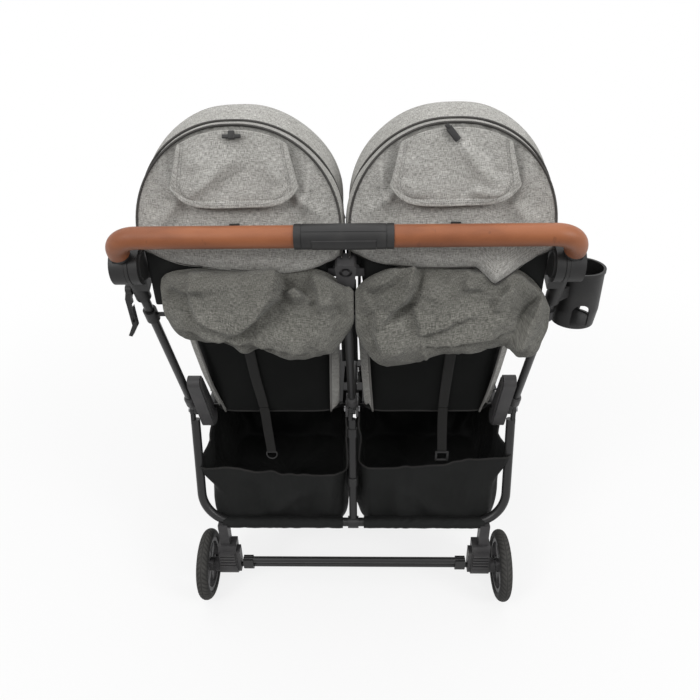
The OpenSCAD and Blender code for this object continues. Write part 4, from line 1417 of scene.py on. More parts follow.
    def flap_folds(self) -> List[Crease]:
        """Creases of the flap, u counted from the stroller's middle outwards.

        Returns:
            start, end and height of each
        """
        if self.side is Side.LEFT:
            return [((0.86, 0.14), (0.46, 0.72), 0.0060), ((0.66, 0.12), (0.40, 0.55), -0.0035),
                    ((0.14, 0.30), (0.22, 0.72), 0.0030), ((0.84, 0.55), (0.93, 0.9), 0.0030)]
        return [((0.52, 0.85), (0.84, 0.22), 0.0065), ((0.70, 0.80), (0.90, 0.35), -0.0040),
                ((0.62, 0.22), (0.86, 0.12), 0.0060), ((0.10, 0.35), (0.24, 0.12), 0.0035)]

    def flap(self) -> None:
        """Peek flap with stitched hems, sewn at its top."""
        inside = self.side.point(self.middle_x, 0.1, 1.0)
        shape = Shape().cloth(84, 52, self.flap_point, self.flap_flat).face_away(inside)
        piece = shape.piece(self.name("peek_flap"), GREY)
        soften(thicken(piece, HOOD_CLOTH, 0.0))
        rows = Shape()
        off = Vector((0.0, -0.0012, 0.0))
        for u in (0.045, 0.068, 0.932, 0.955):
            rows.stitches([self.flap_point(u, 0.2 + 0.78 * i / 34) + off for i in range(35)],
                          STITCH_SHARE, self.thread_r)
        for low in (0.045, 0.072):
            rows.stitches([self.flap_point(0.07 + 0.86 * i / 60, low + 0.14 * abs(i / 30 - 1.0) ** 5) + off
                           for i in range(61)], STITCH_SHARE, self.thread_r)
        thread = rows.closed().piece(self.name("flap_stitches"), THREAD)
        body = f"flap_{self.side.word}"
        hinge = [(0.0, 0.0, self.flap_hinge + up) for up in (0.004, -0.010)]
        for made in (piece, thread):
            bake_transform(made)
        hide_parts(body)
        self.name("rear_panel")

    def trim(self) -> None:
        """Zip pull at the top of the panel and the small loop below it."""
        shape = Shape()
        top = self.panel_face(0.0, self.panel_top - 0.014) + Vector((0.0, -0.009, 0.0))
        lean = Matrix.Rotation(math.radians(-24.0), 4, "X")
        if self.side is Side.LEFT:
            place = Matrix.Translation(self.side.point(top.x - 0.002, top.y - 0.006, top.z)) @ lean
            shape.block((0.028, 0.004, 0.006), place, 0.0018)
            shape.block((0.010, 0.005, 0.013), place @ Matrix.Translation((0.0, 0.0, 0.002)), 0.002)
        else:
            tilt = Matrix.Rotation(math.radians(-38.0), 4, "Y")
            place = Matrix.Translation(self.side.point(top.x - 0.006, top.y - 0.006, top.z)) @ lean @ tilt
            shape.block((0.010, 0.004, 0.024), place, 0.0018)
            shape.block((0.006, 0.006, 0.008), place @ Matrix.Translation((0.0, 0.0, 0.013)), 0.0015)
        low = self.panel_face(0.02, 0.975)
        loop = Matrix.Translation(self.side.point(low.x, low.y - 0.004, low.z))
        shape.block((0.016, 0.003, 0.010), loop, 0.001)
        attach(shape.closed().piece(self.name("zip_pull"), BLACK_PLASTIC), "upper_frame")


def back_point(side: Side, x: float, along: float, behind: float) -> Vector:
    """Point in the frame of a seat back.

    Args:
        side: which seat
        x: distance from the stroller's middle plane
        along: distance up the back from its hinge
        behind: distance behind the middle of the back
    Returns:
        the point
    """
    lean = math.radians(BACK_LEAN)
    return side.point(x, BACK_HINGE.y - along * math.sin(lean) - behind * math.cos(lean),
                      BACK_HINGE.z + along * math.cos(lean) - behind * math.sin(lean))


@dataclass(frozen=True)
class Curtain:
    """Loose rear curtain of one seat, bunched into a bag under the canopy's hem, and a black sheet of painted
    shade inside the hem.
    """

    side: Side
    seed: float
    middle_y: float = -0.114
    depth: float = 0.064
    turn: Tuple[float, float] = (86.0, 300.0)
    flat: Tuple[float, float] = (0.35, 0.34)
    fold_gain: float = 1.55
    thick: float = 0.0014
    hung_z: Tuple[float, float] = (0.900, 0.800)
    # Place across and chart of the black sheet of painted shade inside the hem.
    lining_x: Tuple[float, float] = (0.0006, 0.321)
    lining_flat: Tuple[float, float] = (0.32, 0.13)

    def outline(self) -> List[Vector]:
        """The bag seen from behind: place across, top and bottom, from its left end to its right one.

        Returns:
            points of the outline
        """
        if self.side is Side.LEFT:
            rows = [(-0.304, 0.868, 0.830), (-0.300, 0.884, 0.808), (-0.286, 0.894, 0.793),
                    (-0.256, 0.899, 0.782), (-0.198, 0.902, 0.773), (-0.174, 0.902, 0.759),
                    (-0.138, 0.902, 0.758), (-0.092, 0.901, 0.744), (-0.054, 0.899, 0.743),
                    (-0.028, 0.890, 0.754), (-0.010, 0.876, 0.768), (0.006, 0.866, 0.786),
                    (0.0125, 0.858, 0.806)]
        else:
            rows = [(0.0135, 0.856, 0.796), (0.018, 0.866, 0.770), (0.032, 0.880, 0.748),
                    (0.054, 0.892, 0.733), (0.080, 0.899, 0.731), (0.157, 0.902, 0.749),
                    (0.215, 0.902, 0.762), (0.256, 0.899, 0.770), (0.270, 0.896, 0.765),
                    (0.286, 0.888, 0.749), (0.305, 0.872, 0.734), (0.322, 0.850, 0.750),
                    (0.334, 0.826, 0.792)]
        return smooth_path([Vector(row) for row in rows], 8)

    def folds(self) -> List[Fold]:
        """The main folds, each with its raised side on the left of the way it runs.

        Returns:
            the folds
        """
        if self.side is Side.LEFT:
            return [Fold(((-0.195, 0.800), (-0.143, 0.832), (-0.108, 0.866), (-0.103, 0.892),
                          (-0.112, 0.930)), 0.017, 0.050),
                    Fold(((-0.060, 0.862), (-0.082, 0.890), (-0.101, 0.876)), 0.010, 0.022),
                    Fold(((-0.060, 0.912), (-0.047, 0.870), (-0.043, 0.835)), 0.008, 0.020),
                    Fold(((-0.254, 0.892), (-0.252, 0.850), (-0.240, 0.830), (-0.190, 0.815)), 0.008, 0.028),
                    Fold(((-0.262, 0.803), (-0.200, 0.795), (-0.165, 0.776)), 0.008, 0.016),
                    Fold(((-0.010, 0.800), (-0.022, 0.830), (-0.018, 0.868)), 0.007, 0.020),
                    Fold(((-0.165, 0.782), (-0.110, 0.775), (-0.060, 0.768)), 0.005, 0.014),
                    Fold(((-0.285, 0.880), (-0.262, 0.868), (-0.225, 0.872)), 0.006, 0.018)]
        return [Fold(((0.050, 0.808), (0.098, 0.856), (0.111, 0.888), (0.128, 0.930)), 0.014, 0.038),
                Fold(((0.103, 0.852), (0.117, 0.800), (0.172, 0.820), (0.222, 0.840)), 0.006, 0.026, 0.002),
                Fold(((0.186, 0.892), (0.187, 0.876), (0.222, 0.876)), 0.004, 0.014, 0.0015),
                Fold(((0.318, 0.856), (0.291, 0.818), (0.268, 0.778)), 0.013, 0.030),
                Fold(((0.046, 0.836), (0.043, 0.795), (0.058, 0.752)), 0.009, 0.024),
                Fold(((0.120, 0.778), (0.200, 0.794), (0.262, 0.800)), 0.005, 0.018),
                Fold(((0.262, 0.880), (0.240, 0.862), (0.232, 0.838)), 0.006, 0.022),
                Fold(((0.030, 0.866), (0.060, 0.872), (0.092, 0.896)), 0.008, 0.020)]

    def build(self) -> None:
        """Makes the bag, settled as loose cloth, and the black sheet of painted shade inside the hem."""
        rows, folds = self.outline(), self.folds()
        left, right = rows[0].x, rows[-1].x

        def point(u: float, v: float) -> Vector:
            """Point of the bag.

            Args:
                u: from left to right
                v: from the top edge over the back and round under
            Returns:
                the point
            """
            x = lerp(left, right, u)
            i = min(len(rows) - 2, sum(1 for row in rows[1:-1] if row.x <= x))
            now = rows[i].lerp(rows[i + 1], (x - rows[i].x) / (rows[i + 1].x - rows[i].x))
            a = math.radians(lerp(*self.turn, v))
            out = Vector((0.0, power(math.cos(a), 0.75), power(math.sin(a), 0.8)))
            full = max(0.0, math.sin(math.pi * lerp(0.002, 0.998, u))) ** 0.4
            full *= lerp(0.62, 1.0, ease(-0.35, 0.75, -out.z))
            p = Vector((x, self.middle_y + self.depth * full * out.y, lerp(now.z, now.y, 0.5 + 0.5 * out.z)))
            loose = ease(0.0, 0.14, v) * ease(0.0, 0.12, 1.0 - v)
            loose = loose * ease(0.0, 0.05, u) * ease(0.0, 0.05, 1.0 - u)
            lift = self.fold_gain * sum(fold.lift(x, p.z) for fold in folds) * (1.0 if out.y < 0.0 else 0.3)
            large, small = crumple(p, 0.075, self.seed), crumple(p, 0.030, self.seed + 3.0)
            lift -= 0.016 * (large - 0.35) + 0.0050 * (small - 0.35)
            lift += 0.005 * ripple(u, v, self.seed, (3.2, 2.2))
            return p + out.normalized() * (lift * loose)

        def hold(u: float, v: float) -> float:
            """Sewn along its top and lower edges and gathered at its ends."""
            return 1.0 if v < 0.02 or v > 0.98 or abs(2.0 * u - 1.0) > 0.985 else 0.0

        inside = Vector(((left + right) / 2.0, self.middle_y, 0.84))
        shape = Shape().cloth(134, 88, point, self.flat, hold).face_away(inside)
        area = min(shape.area(), self.flat[0] * self.flat[1])
        # The curtain takes the darker grey of painted shade.
        piece = shape.piece(f"rear_curtain_{self.side.word}", GREY_SHADED)
        Drape(frames=16, growth=0.05, weight=0.25, bending=0.05, reach=0.006).settle(piece)
        soften(thicken(piece, self.thick))
        self.hang(piece)
        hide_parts(f"curtain_{self.side.word}")
        self.lining()

    def hang(self, piece: Piece) -> None:
        """Bakes a piece's place into its mesh."""
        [(0.0, 0.0, z) for z in self.hung_z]
        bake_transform(piece)

    def lining(self) -> None:
        """Black sheet inside the hem, painted shade that closes the opening over the seat back and the
        bracket.
        """

        def point(u: float, v: float) -> Vector:
            """Point of the black sheet.

            Args:
                u: share across
                v: from its top inside the panel to its lower edge
            Returns:
                the point
            """
            x = lerp(*self.lining_x, u)
            wide = ease(0.022, 0.032, x)
            slack = 0.003 * ripple(u, v, self.seed + 6.0, (5.0, 2.0)) * ease(0.0, 0.2, v) * wide
            y = lerp(-0.098, lerp(-0.1125, -0.1015, v), wide) + slack
            return self.side.point(x, y, lerp(0.958, lerp(0.899, 0.830, wide), v))

        shape = Shape().cloth(72, 20, point, self.lining_flat).face_away(Vector((0.0, 0.3, 0.9)))
        # Black cloth as painted shade in the opening under the hem.
        piece = shape.piece(f"curtain_lining_{self.side.word}", BLACK)
        soften(thicken(piece, THIN_CLOTH))
        self.hang(piece)


@dataclass(frozen=True)
class Pad:
    """A stuffed panel, blown up a little by simulation and then sewn through in channels."""

    width: float
    length: float
    low: float
    high: float
    channels: int
    voxel: float = 0.006
    rounding: float = 0.012
    swell: float = 0.006
    fill: float = 0.65

    def mesh(self, name: str) -> bpy.types.Mesh:
        """The settled pad about its own lower end: X across, Y along and Z through.

        Args:
            name: of the mesh
        Returns:
            the mesh
        """
        shape = Shape()
        thick = self.low + self.high
        place = Matrix.Translation((0.0, self.length / 2.0, (self.high - self.low) / 2.0))
        size = (self.width - self.swell, self.length - self.swell, thick - self.swell)
        shape.block(size, place, self.rounding, 4)
        work = shape.closed().piece(name, BLACK_PAD)
        remesh = work.modifiers.new("even", "REMESH")
        remesh.mode, remesh.voxel_size = "VOXEL", self.voxel
        self.bake(work)
        Drape(frames=14, growth=0.0, weight=0.0, bending=0.5, reach=0.006, pressure=4.0).settle(work)
        for vert in work.data.vertices:
            self.sew(vert)
        mesh = work.data
        bpy.data.objects.remove(work)
        return mesh

    @staticmethod
    def bake(piece: Piece) -> None:
        """Applies the piece's modifiers.

        Args:
            piece: what to bake
        """
        shown = piece.evaluated_get(bpy.context.evaluated_depsgraph_get())
        mesh = bpy.data.meshes.new_from_object(shown)
        piece.modifiers.clear()
        piece.data = mesh

    def sew(self, vert: bpy.types.MeshVertex) -> None:
        """Draws a point in where a channel or the waist of the sides passes.

        Args:
            vert: the point
        """
        s = min(1.0, max(0.0, vert.co.y / self.length))
        seam = max(hill(s * self.channels, float(i), 0.07) for i in range(1, self.channels))
        inner = 1.0 - ease(0.86, 1.0, abs(2.0 * vert.co.x / self.width))
        vert.co.z *= 1.0 - 0.3 * seam * (0.4 + 0.6 * inner)
        vert.co.x *= 1.0 - 0.022 * math.sin(math.pi * s)
        crown = 1.0 - (2.0 * vert.co.x / self.width) ** 2
        vert.co.z += math.copysign(0.0035, vert.co.z) * crown * (1.0 - seam)

    def place(self, mesh: bpy.types.Mesh, side: Side, put: Matrix, name: str, finish: Finish) -> Piece:
        """One pad in its place.

        Args:
            mesh: the settled pad
            side: which seat it is on
            put: its place on the right hand side
            name: of the piece
            finish: its cloth
        Returns:
            the piece
        """
        shape = Shape()
        shape.bm.from_mesh(mesh)
        bmesh.ops.transform(shape.bm, matrix=Matrix.Diagonal((side.value, 1.0, 1.0, 1.0)) @ put,
                            verts=shape.bm.verts[:])
        piece = soften(shape.closed().piece(name, finish))
        return piece


@dataclass
class Seats:
    """Seat cushions, backs and leg rests with their covers, wings, straps and harness."""

    seat_x: float = 0.160
    width: float = 0.266
    back_length: float = 0.415
    lean: float = BACK_LEAN
    leg_tilt: float = 210.0
    pad_y: Tuple[float, float] = (0.145, 0.352)
    pad_z: float = 0.4874
    back_low: float = 0.014
    rest_low: float = 0.008
    rest_length: float = 0.142
    rod_r: float = 0.005
    cover_behind: float = 0.0235
    cover_thick: float = 0.0015
    wing_flat: Tuple[float, float] = (0.018, 0.29)
    wing_thick: float = 0.003
    gusset_flat: Tuple[float, float] = (0.031, 0.24)
    gusset_z: Tuple[float, float] = (0.640, 0.868)
    strap_w: float = 0.021
    shoulder_w: float = 0.025
    lap_w: float = 0.022

    def build(self) -> None:
        """Makes both seats, each pair from one settled pad."""
        back = Pad(self.width, self.back_length - self.back_low, self.back_low, 0.017, 5)
        seat = Pad(self.width, self.pad_y[1] - self.pad_y[0], 0.013, 0.020, 3)
        rest = Pad(self.width, self.rest_length, self.rest_low, self.rest_low, 2, rounding=0.006)
        upright = Matrix.Rotation(math.pi / 2, 4, "X")
        back_at = (Matrix.Translation((self.seat_x, BACK_HINGE.y, BACK_HINGE.z))
                   @ Matrix.Rotation(math.radians(self.lean), 4, "X")
                   @ Matrix.Translation((0, 0, self.back_low))
                   @ upright @ Matrix.Diagonal((1.0, 1.0, -1.0, 1.0)))
        seat_at = Matrix.Translation((self.seat_x, self.pad_y[0], self.pad_z))
        rest_at = (Matrix.Translation((self.seat_x, LEG_HINGE.y, LEG_HINGE.z))
                   @ Matrix.Rotation(math.radians(self.leg_tilt), 4, "X")
                   @ Matrix.Translation((0, 0, self.rest_low)) @ upright)
        meshes = [pad.mesh(word) for pad, word in ((back, "back"), (seat, "seat"), (rest, "rest"))]
        for side in Side:
            word = side.word
            piece = back.place(meshes[0], side, back_at, f"back_pad_{word}", BLACK_PAD)
            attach(piece, f"seat_back_{word}")
            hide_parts(f"seat_back_{word}")
            self.give(piece, self.facing, back_point(side, 0.0, 0.2, 0.012), 0.55)
            piece = seat.place(meshes[1], side, seat_at, f"seat_cushion_{word}", GREY_PAD)
            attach(piece, "chassis")
            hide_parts(f"seat_pad_{word}")
            self.give(piece, Z_AXIS, Vector((0.0, 0.0, self.pad_z)), 0.5)
            piece = rest.place(meshes[2], side, rest_at, f"leg_pad_{word}", BLACK_PAD)
            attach(piece, f"leg_rest_{word}")
            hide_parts(f"leg_rest_{word}")
            self.rods(side)
            self.cover(side)
            self.wings(side)
            self.recline_strap(side)
            self.harness(side)
        self.gusset()

    @property
    def facing(self) -> Vector:
        """Which way the front of a seat back looks."""
        return back_point(Side.RIGHT, 0.0, 0.0, -1.0) - back_point(Side.RIGHT, 0.0, 0.0, 0.0)

    @staticmethod
    def give(piece: Piece, way: Vector, rest: Vector, keep: float) -> None:
        """Gives a soft piece its own copy of its mesh.

        Args:
            piece: the soft piece
            way: not used
            rest: not used
            keep: not used
        """
        tuple(way)
        tuple(rest)
        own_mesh(piece)

    def rods(self, side: Side) -> None:
        """Hinge rods of the back and the leg rest.

        Args:
            side: which seat
        """
        for word, at, reach in (("back_rod", BACK_HINGE, 0.3044), ("leg_rod", LEG_HINGE, 0.3106)):
            ends = [side.point(x, at.y, at.z) for x in (0.0148, 0.16, reach)]
            body = "seat_back" if word == "back_rod" else "leg_rest"
            piece = Shape().tube(ends, self.rod_r, 16).closed().piece(f"{word}_{side.word}", TUBE)
            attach(piece, f"{body}_{side.word}")

    def cover(self, side: Side) -> None:
        """Taut black cloth over the rear of the back, with its binding.

        Args:
            side: which seat
        """
        low, high, half = 0.016, 0.395, 0.134

        def rule(u: float, v: float) -> Vector:
            """Point of the cover.

            Args:
                u: share across
                v: share along
            Returns:
                the point
            """
            s = 2.0 * u - 1.0
            wave = 0.0016 * ripple(u, v, 3.0 + side.value, (3.0, 3.0))
            wave += 0.0012 * math.sin(math.pi * v) * (1.0 - s * s)
            behind = self.cover_behind + wave - 0.016 * abs(s) ** 10
            return back_point(side, self.seat_x + s * half, lerp(low, high, v), behind)

        flat = (2.0 * half, high - low)
        inside = back_point(side, self.seat_x, 0.2, -0.1)
        shape = Shape().cloth(40, 48, rule, flat).face_away(inside)
        piece = soften(thicken(shape.piece(f"back_cover_{side.word}", BLACK_TAUT), self.cover_thick))
        edge = [rule(u, 0.0) for u in (i / 24 for i in range(25))]
        binding = Shape().tube([p + Vector((0.0, -0.0005, 0.0)) for p in edge], 0.002, 8)
        hem = binding.closed().piece(f"cover_binding_{side.word}", BINDING)
        for made in (piece, hem):
            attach(made, f"seat_back_{side.word}")

    def wings(self, side: Side) -> None:
        """Grey side cloth of the seat, with a bound edge, beside each edge of the back.

        Args:
            side: which seat
        """
        for word, low_x, high_x, out in (("outer", 0.284, 0.2955, 1.0), ("inner", 0.036, 0.024, -1.0)):
            width, length = self.wing_flat

            def rule(u: float, v: float) -> Vector:
                """Point of the wing.

                Args:
                    u: share across
                    v: share along
                Returns:
                    the point
                """
                x = lerp(low_x, high_x, v) + (u - 0.5) * width * out
                behind = 0.022 - 0.016 * u + 0.003 * ripple(u, v, 7.0 + side.value + out, (2.0, 4.0))
                return back_point(side, x, 0.012 + v * length, behind + 0.012 * math.sin(math.pi * v))

            inside = back_point(side, self.seat_x, 0.15, -0.2)
            shape = Shape().cloth(8, 40, rule, (width, length)).face_away(inside)
            piece = soften(thicken(shape.piece(f"{word}_wing_{side.word}", GREY), self.wing_thick))
            bound = Shape().tube([rule(0.0, i / 30) for i in range(31)], 0.0022, 8)
            hem = bound.closed().piece(f"{word}_wing_binding_{side.word}", THREAD)
            for made in (piece, hem):
                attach(made, f"seat_back_{side.word}")

    def gusset(self) -> None:
        """Black cloth on the middle tube that closes the gap between the two backs."""
        flat = self.gusset_flat

        def rule(u: float, v: float) -> Vector:
            """Point of the cloth, ahead of the tube that carries it.

            Args:
                u: share across
                v: share along
            Returns:
                the point
            """
            z = lerp(*self.gusset_z, v)
            y = lerp(FOLD.y, HUB.y, (z - FOLD.z) / (HUB.z - FOLD.z)) + 0.017
            slack = 0.0015 * ripple(u, v, 3.0, (2.0, 5.0))
            return Vector(((u - 0.5) * flat[0], y + slack - 0.004 * (2.0 * u - 1.0) ** 2, z))

        shape = Shape().cloth(10, 30, rule, flat).face_away(Vector((0.0, 0.4, 0.8)))
        piece = soften(thicken(shape.piece("middle_gusset", BLACK), THIN_CLOTH))
        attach(piece, "upper_frame")

    def recline_strap(self, side: Side) -> None:
        """Webbing that hangs down the rear of the back and ends in its ring or buckle.

        Args:
            side: which seat
        """
        x, sway = (0.190, -0.010) if side is Side.LEFT else (0.192, 0.006)
        points = [back_point(side, x, 0.27, 0.028), back_point(side, x, 0.15, 0.030),
                  back_point(side, x + sway * 0.3, 0.04, 0.031), side.point(x + sway * 0.6, 0.055, 0.44),
                  side.point(x + sway, 0.052, 0.385)]
        route = smooth_path(points, 10)
        parting = next(i for i, p in enumerate(route) if p.z < BACK_HINGE.z + 0.03)
        made = []
        for word, stretch in (("recline_strap", route[:parting + 1]), ("strap_tail", route[parting:])):
            webbing = Shape().strap(stretch, self.strap_w, X_AXIS).piece(f"{word}_{side.word}", WEBBING)
            made.append(soften(thicken(webbing, WEBBING_THICK, 0.0)))
        end = points[-1]
        ring = Shape()
        if side is Side.LEFT:
            loop = [end + Vector((0.0115 * math.sin(a), 0.0, -0.006 + 0.013 * min(0.4, math.cos(a))))
                    for a in (2.0 * math.pi * i / 32 for i in range(32))]
            ring.tube(loop, 0.0018, 8, True)
        else:
            bar, post = (0.030, 0.004, 0.005), (0.005, 0.004, 0.024)
            for size, dx, drop in ((bar, 0.0, 0.0), (bar, 0.0, -0.022),
                                   (post, -0.0125, -0.011), (post, 0.0125, -0.011)):
                ring.block(size, Matrix.Translation(end + Vector((dx, -0.001, drop))), 0.0012)
        made.append(ring.closed().piece(f"strap_buckle_{side.word}", BLACK_PLASTIC))
        for piece in made:
            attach(piece, f"seat_back_{side.word}")
        for hanging in made[1:]:
            self.give(hanging, Z_AXIS, route[parting], 0.12)

    def harness(self, side: Side) -> None:
        """Shoulder and lap straps that meet at the crotch buckle.

        Args:
            side: which seat
        """
        shoulders, laps = Shape(), Shape()
        for way in (-1.0, 1.0):
            x = self.seat_x + way * 0.048
            path = [back_point(side, x, 0.345, -0.0235), back_point(side, x, 0.25, -0.028),
                    back_point(side, x - way * 0.006, 0.13, -0.040),
                    side.point(self.seat_x + way * 0.028, 0.190, 0.535),
                    side.point(self.seat_x + way * 0.015, 0.229, 0.538)]
            shoulders.strap(smooth_path(path, 8), self.shoulder_w, X_AXIS)
            path = [side.point(self.seat_x + way * reach, y, z)
                    for reach, y, z in ((0.122, 0.150, 0.516), (0.09, 0.178, 0.524), (0.024, 0.231, 0.530))]
            laps.strap(smooth_path(path, 8), self.lap_w, Vector((0.0, 0.45, 0.9)))
        for shape, word, body in ((shoulders, "shoulder_straps", f"seat_back_{side.word}"),
                                  (laps, "lap_straps", "chassis")):
            piece = soften(thicken(shape.piece(f"{word}_{side.word}", WEBBING), WEBBING_THICK, 0.0))
            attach(piece, body)
            if shape is shoulders:
                self.give(piece, self.facing, back_point(side, 0.0, 0.2, 0.0), 0.06)
            else:
                self.give(piece, Z_AXIS, Vector((0.0, 0.0, self.pad_z)), 0.3)


@dataclass
class Basket:
    """One storage basket: a sagging black bag hung from the frame, its bound rim and its hem on the tube."""

    side: Side
    seed: float
    middle_x: float = 0.170
    half: float = 0.158
    floor_y: float = 0.030
    floor_z: float = 0.198
    depth: float = 0.316
    rear_rim: float = 0.350
    front_rim: float = 0.432
    cross: Tuple[float, float] = (0.014, 0.208)
    sleeve_x: Tuple[float, float] = (0.024, 0.300)
    sleeve_r: float = 0.0126
    corner: float = 0.042
    floor_from: float = 0.70
    wall_to: float = 0.72
    flat: Tuple[float, float] = (0.95, 0.36)
    columns: int = 144
    rim_r: float = 0.0024
    hem_thick: float = 0.001
    hanger_w: float = 0.025

    def ring(self, u: float) -> Tuple[float, float]:
        """Square with round corners.

        Args:
            u: share of the way round from the middle of its front, by way of its inner side
        Returns:
            place across and along, from -1 to 1
        """
        flat = 1.0 - self.corner / self.half
        bend = (1.0 - flat) * math.pi / 2.0
        turn, share = divmod(4.0 * u, 1.0)
        s = share * (2.0 * flat + bend)
        if s < flat:
            x, y = -s, 1.0
        elif s < flat + bend:
            a = (s - flat) / (1.0 - flat)
            x, y = -flat - (1.0 - flat) * math.sin(a), flat + (1.0 - flat) * math.cos(a)
        else:
            x, y = -1.0, 2.0 * flat + bend - s
        for _ in range(int(turn) % 4):
            x, y = -y, x
        return x, y

    def rim_z(self, y: float, x: float) -> float:
        """Height of the rim: low at the rear for access, lowest on the left, and high further forward.

        Args:
            y: how far forward
            x: distance from the stroller's middle plane
        Returns:
            the height
        """
        shift, slope = (-0.012, 0.016) if self.side is Side.LEFT else (0.013, 0.020)
        rear = self.rear_rim + shift + slope * (x - self.middle_x) / self.half
        return lerp(rear, self.front_rim, ease(0.055, 0.15, y))

    def point(self, u: float, v: float) -> Vector:
        """Point of the basket's bag.

        Args:
            u: share of the way round from the front
            v: from the rim down the wall and in over the floor
        Returns:
            the point
        """
        cx, cy = self.ring(u)
        h = max(0.0, 1.0 - v / self.wall_to)
        inward = 1.0 - ease(self.floor_from, 1.0, v)
        narrow = lerp(0.09, 0.02, ease(0.0, 0.8, -cy))
        spread = (1.0 - narrow * (1.0 - h) ** 2) * (1.0 + 0.02 * math.sin(math.pi * h)) * inward
        x = self.middle_x + self.half * spread * cx
        y = self.floor_y + self.depth / 2 * (1.0 + spread * cy) + 0.014 * h
        rear = lerp(0.5, ease(0.2, 1.0, -cy), inward)
        z = lerp(self.floor_z + 0.014 * (1.0 - rear), self.rim_z(y, x), h)
        round_ = Vector((cx, cy, 0.0))
        fold = 0.007 * noise.noise(2.6 * round_ + Vector((self.seed, 0.0, 2.2 * v)))
        fold += 0.005 * noise.noise(7.0 * round_ + Vector((0.0, self.seed, 2.0 * v)))
        for start, end, high in self.pleats():
            fold += high * crease(u, v, start, end, 0.016)
        fold *= (ease(0.0, 0.2, h) + 0.3) * inward
        x += fold * cx
        y += fold * cy - 0.010 * rear * (1.0 - h) * inward
        z -= 0.010 * rear * math.sin(math.pi * (x - 0.012) / 0.316) * h if 0.012 < x < 0.328 else 0.0
        z += 0.004 * noise.noise(3.0 * round_ + Vector((0.0, 0.0, 6.0 * v + self.seed))) * (1.0 - h) * inward
        ear = hill(u, 0.622, 0.022) * ease(0.50, 1.0, h)
        x += 0.030 * ear
        y -= 0.010 * ear
        return self.side.point(x, y, z)

    def pleats(self) -> List[Crease]:
        """Soft pleats of the walls, u counted round the bag from its front.

        Returns:
            start, end and height of each
        """
        return [((0.80, 0.0), (0.87, 0.62), -0.014), ((0.83, 0.0), (0.90, 0.66), 0.012),
                ((0.70, 0.1), (0.73, 0.55), 0.008), ((0.20, 0.0), (0.14, 0.6), -0.012),
                ((0.28, 0.1), (0.26, 0.6), 0.008), ((0.46, 0.25), (0.52, 0.62), 0.005),
                ((0.56, 0.15), (0.545, 0.6), -0.004), ((0.10, 0.2), (0.08, 0.7), 0.009),
                ((0.92, 0.2), (0.94, 0.7), 0.009)]

    def build(self) -> None:
        """Makes bag, rim, hem sleeve and hangers."""
        flat = self.flat
        shape = Shape().cloth(self.columns, 44, self.point, flat)
        area = min(shape.area(), 0.99 * flat[0] * flat[1])
        bmesh.ops.remove_doubles(shape.bm, verts=shape.bm.verts[:], dist=MERGE_GAP)
        inside = self.side.point(self.middle_x, self.floor_y + self.depth / 2, 0.30)
        bag = shape.face_away(inside).piece(f"basket_bag_{self.side.word}", BLACK)
        soften(thicken(bag, PANEL_CLOTH))
        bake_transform(bag)
        path = [self.point(i / self.columns, 0.0) for i in range(self.columns)]
        rim = Shape().tube(path, self.rim_r, 8, True)
        rim_piece = rim.closed().piece(f"basket_rim_{self.side.word}", BINDING)
        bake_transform(rim_piece)
        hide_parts(f"basket_{self.side.word}")
        self.sleeve()
        self.hangers()

    def sleeve(self) -> None:
        """Hem gathered round the cross tube."""
        length = self.sleeve_x[1] - self.sleeve_x[0]

        def rule(u: float, v: float) -> Vector:
            """Point of the sleeve.

            Args:
                u: share round the tube
                v: share along it
            Returns:
                the point
            """
            a = 2.0 * math.pi * u
            gather = 0.0011 * ripple(math.cos(a) * 0.3, v * 26.0 + a, self.seed + 1.0, (1.0, 1.0))
            r = self.sleeve_r + 0.0006 + gather + 0.0025 * hill(a, math.pi, 0.7)
            return self.side.point(lerp(*self.sleeve_x, v), self.cross[0] + r * math.cos(a),
                                   self.cross[1] + r * math.sin(a))

        flat = (2.0 * math.pi * self.sleeve_r, length)
        shape = Shape().cloth(28, 110, rule, flat)
        bmesh.ops.remove_doubles(shape.bm, verts=shape.bm.verts[:], dist=MERGE_GAP)
        inside = self.side.point(sum(self.sleeve_x) / 2.0, *self.cross)
        hem = shape.face_away(inside).piece(f"basket_hem_{self.side.word}", BLACK)
        piece = soften(thicken(hem, self.hem_thick))
        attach(piece, "rear_frame")

    def hangers(self) -> None:
        """Webbing from the bag up to the front leg."""
        straps = Shape()
        for y in (0.2125, 0.3025):
            path = [self.side.point(0.3322, y, z) for z in (0.300, 0.355, 0.41, 0.465)]
            straps.strap(smooth_path(path, 5), self.hanger_w, Vector((0.0, 1.0, 0.0)))
        piece = thicken(straps.piece(f"basket_hangers_{self.side.word}", WEBBING), WEBBING_THICK, 0.0)
        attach(piece, "chassis")


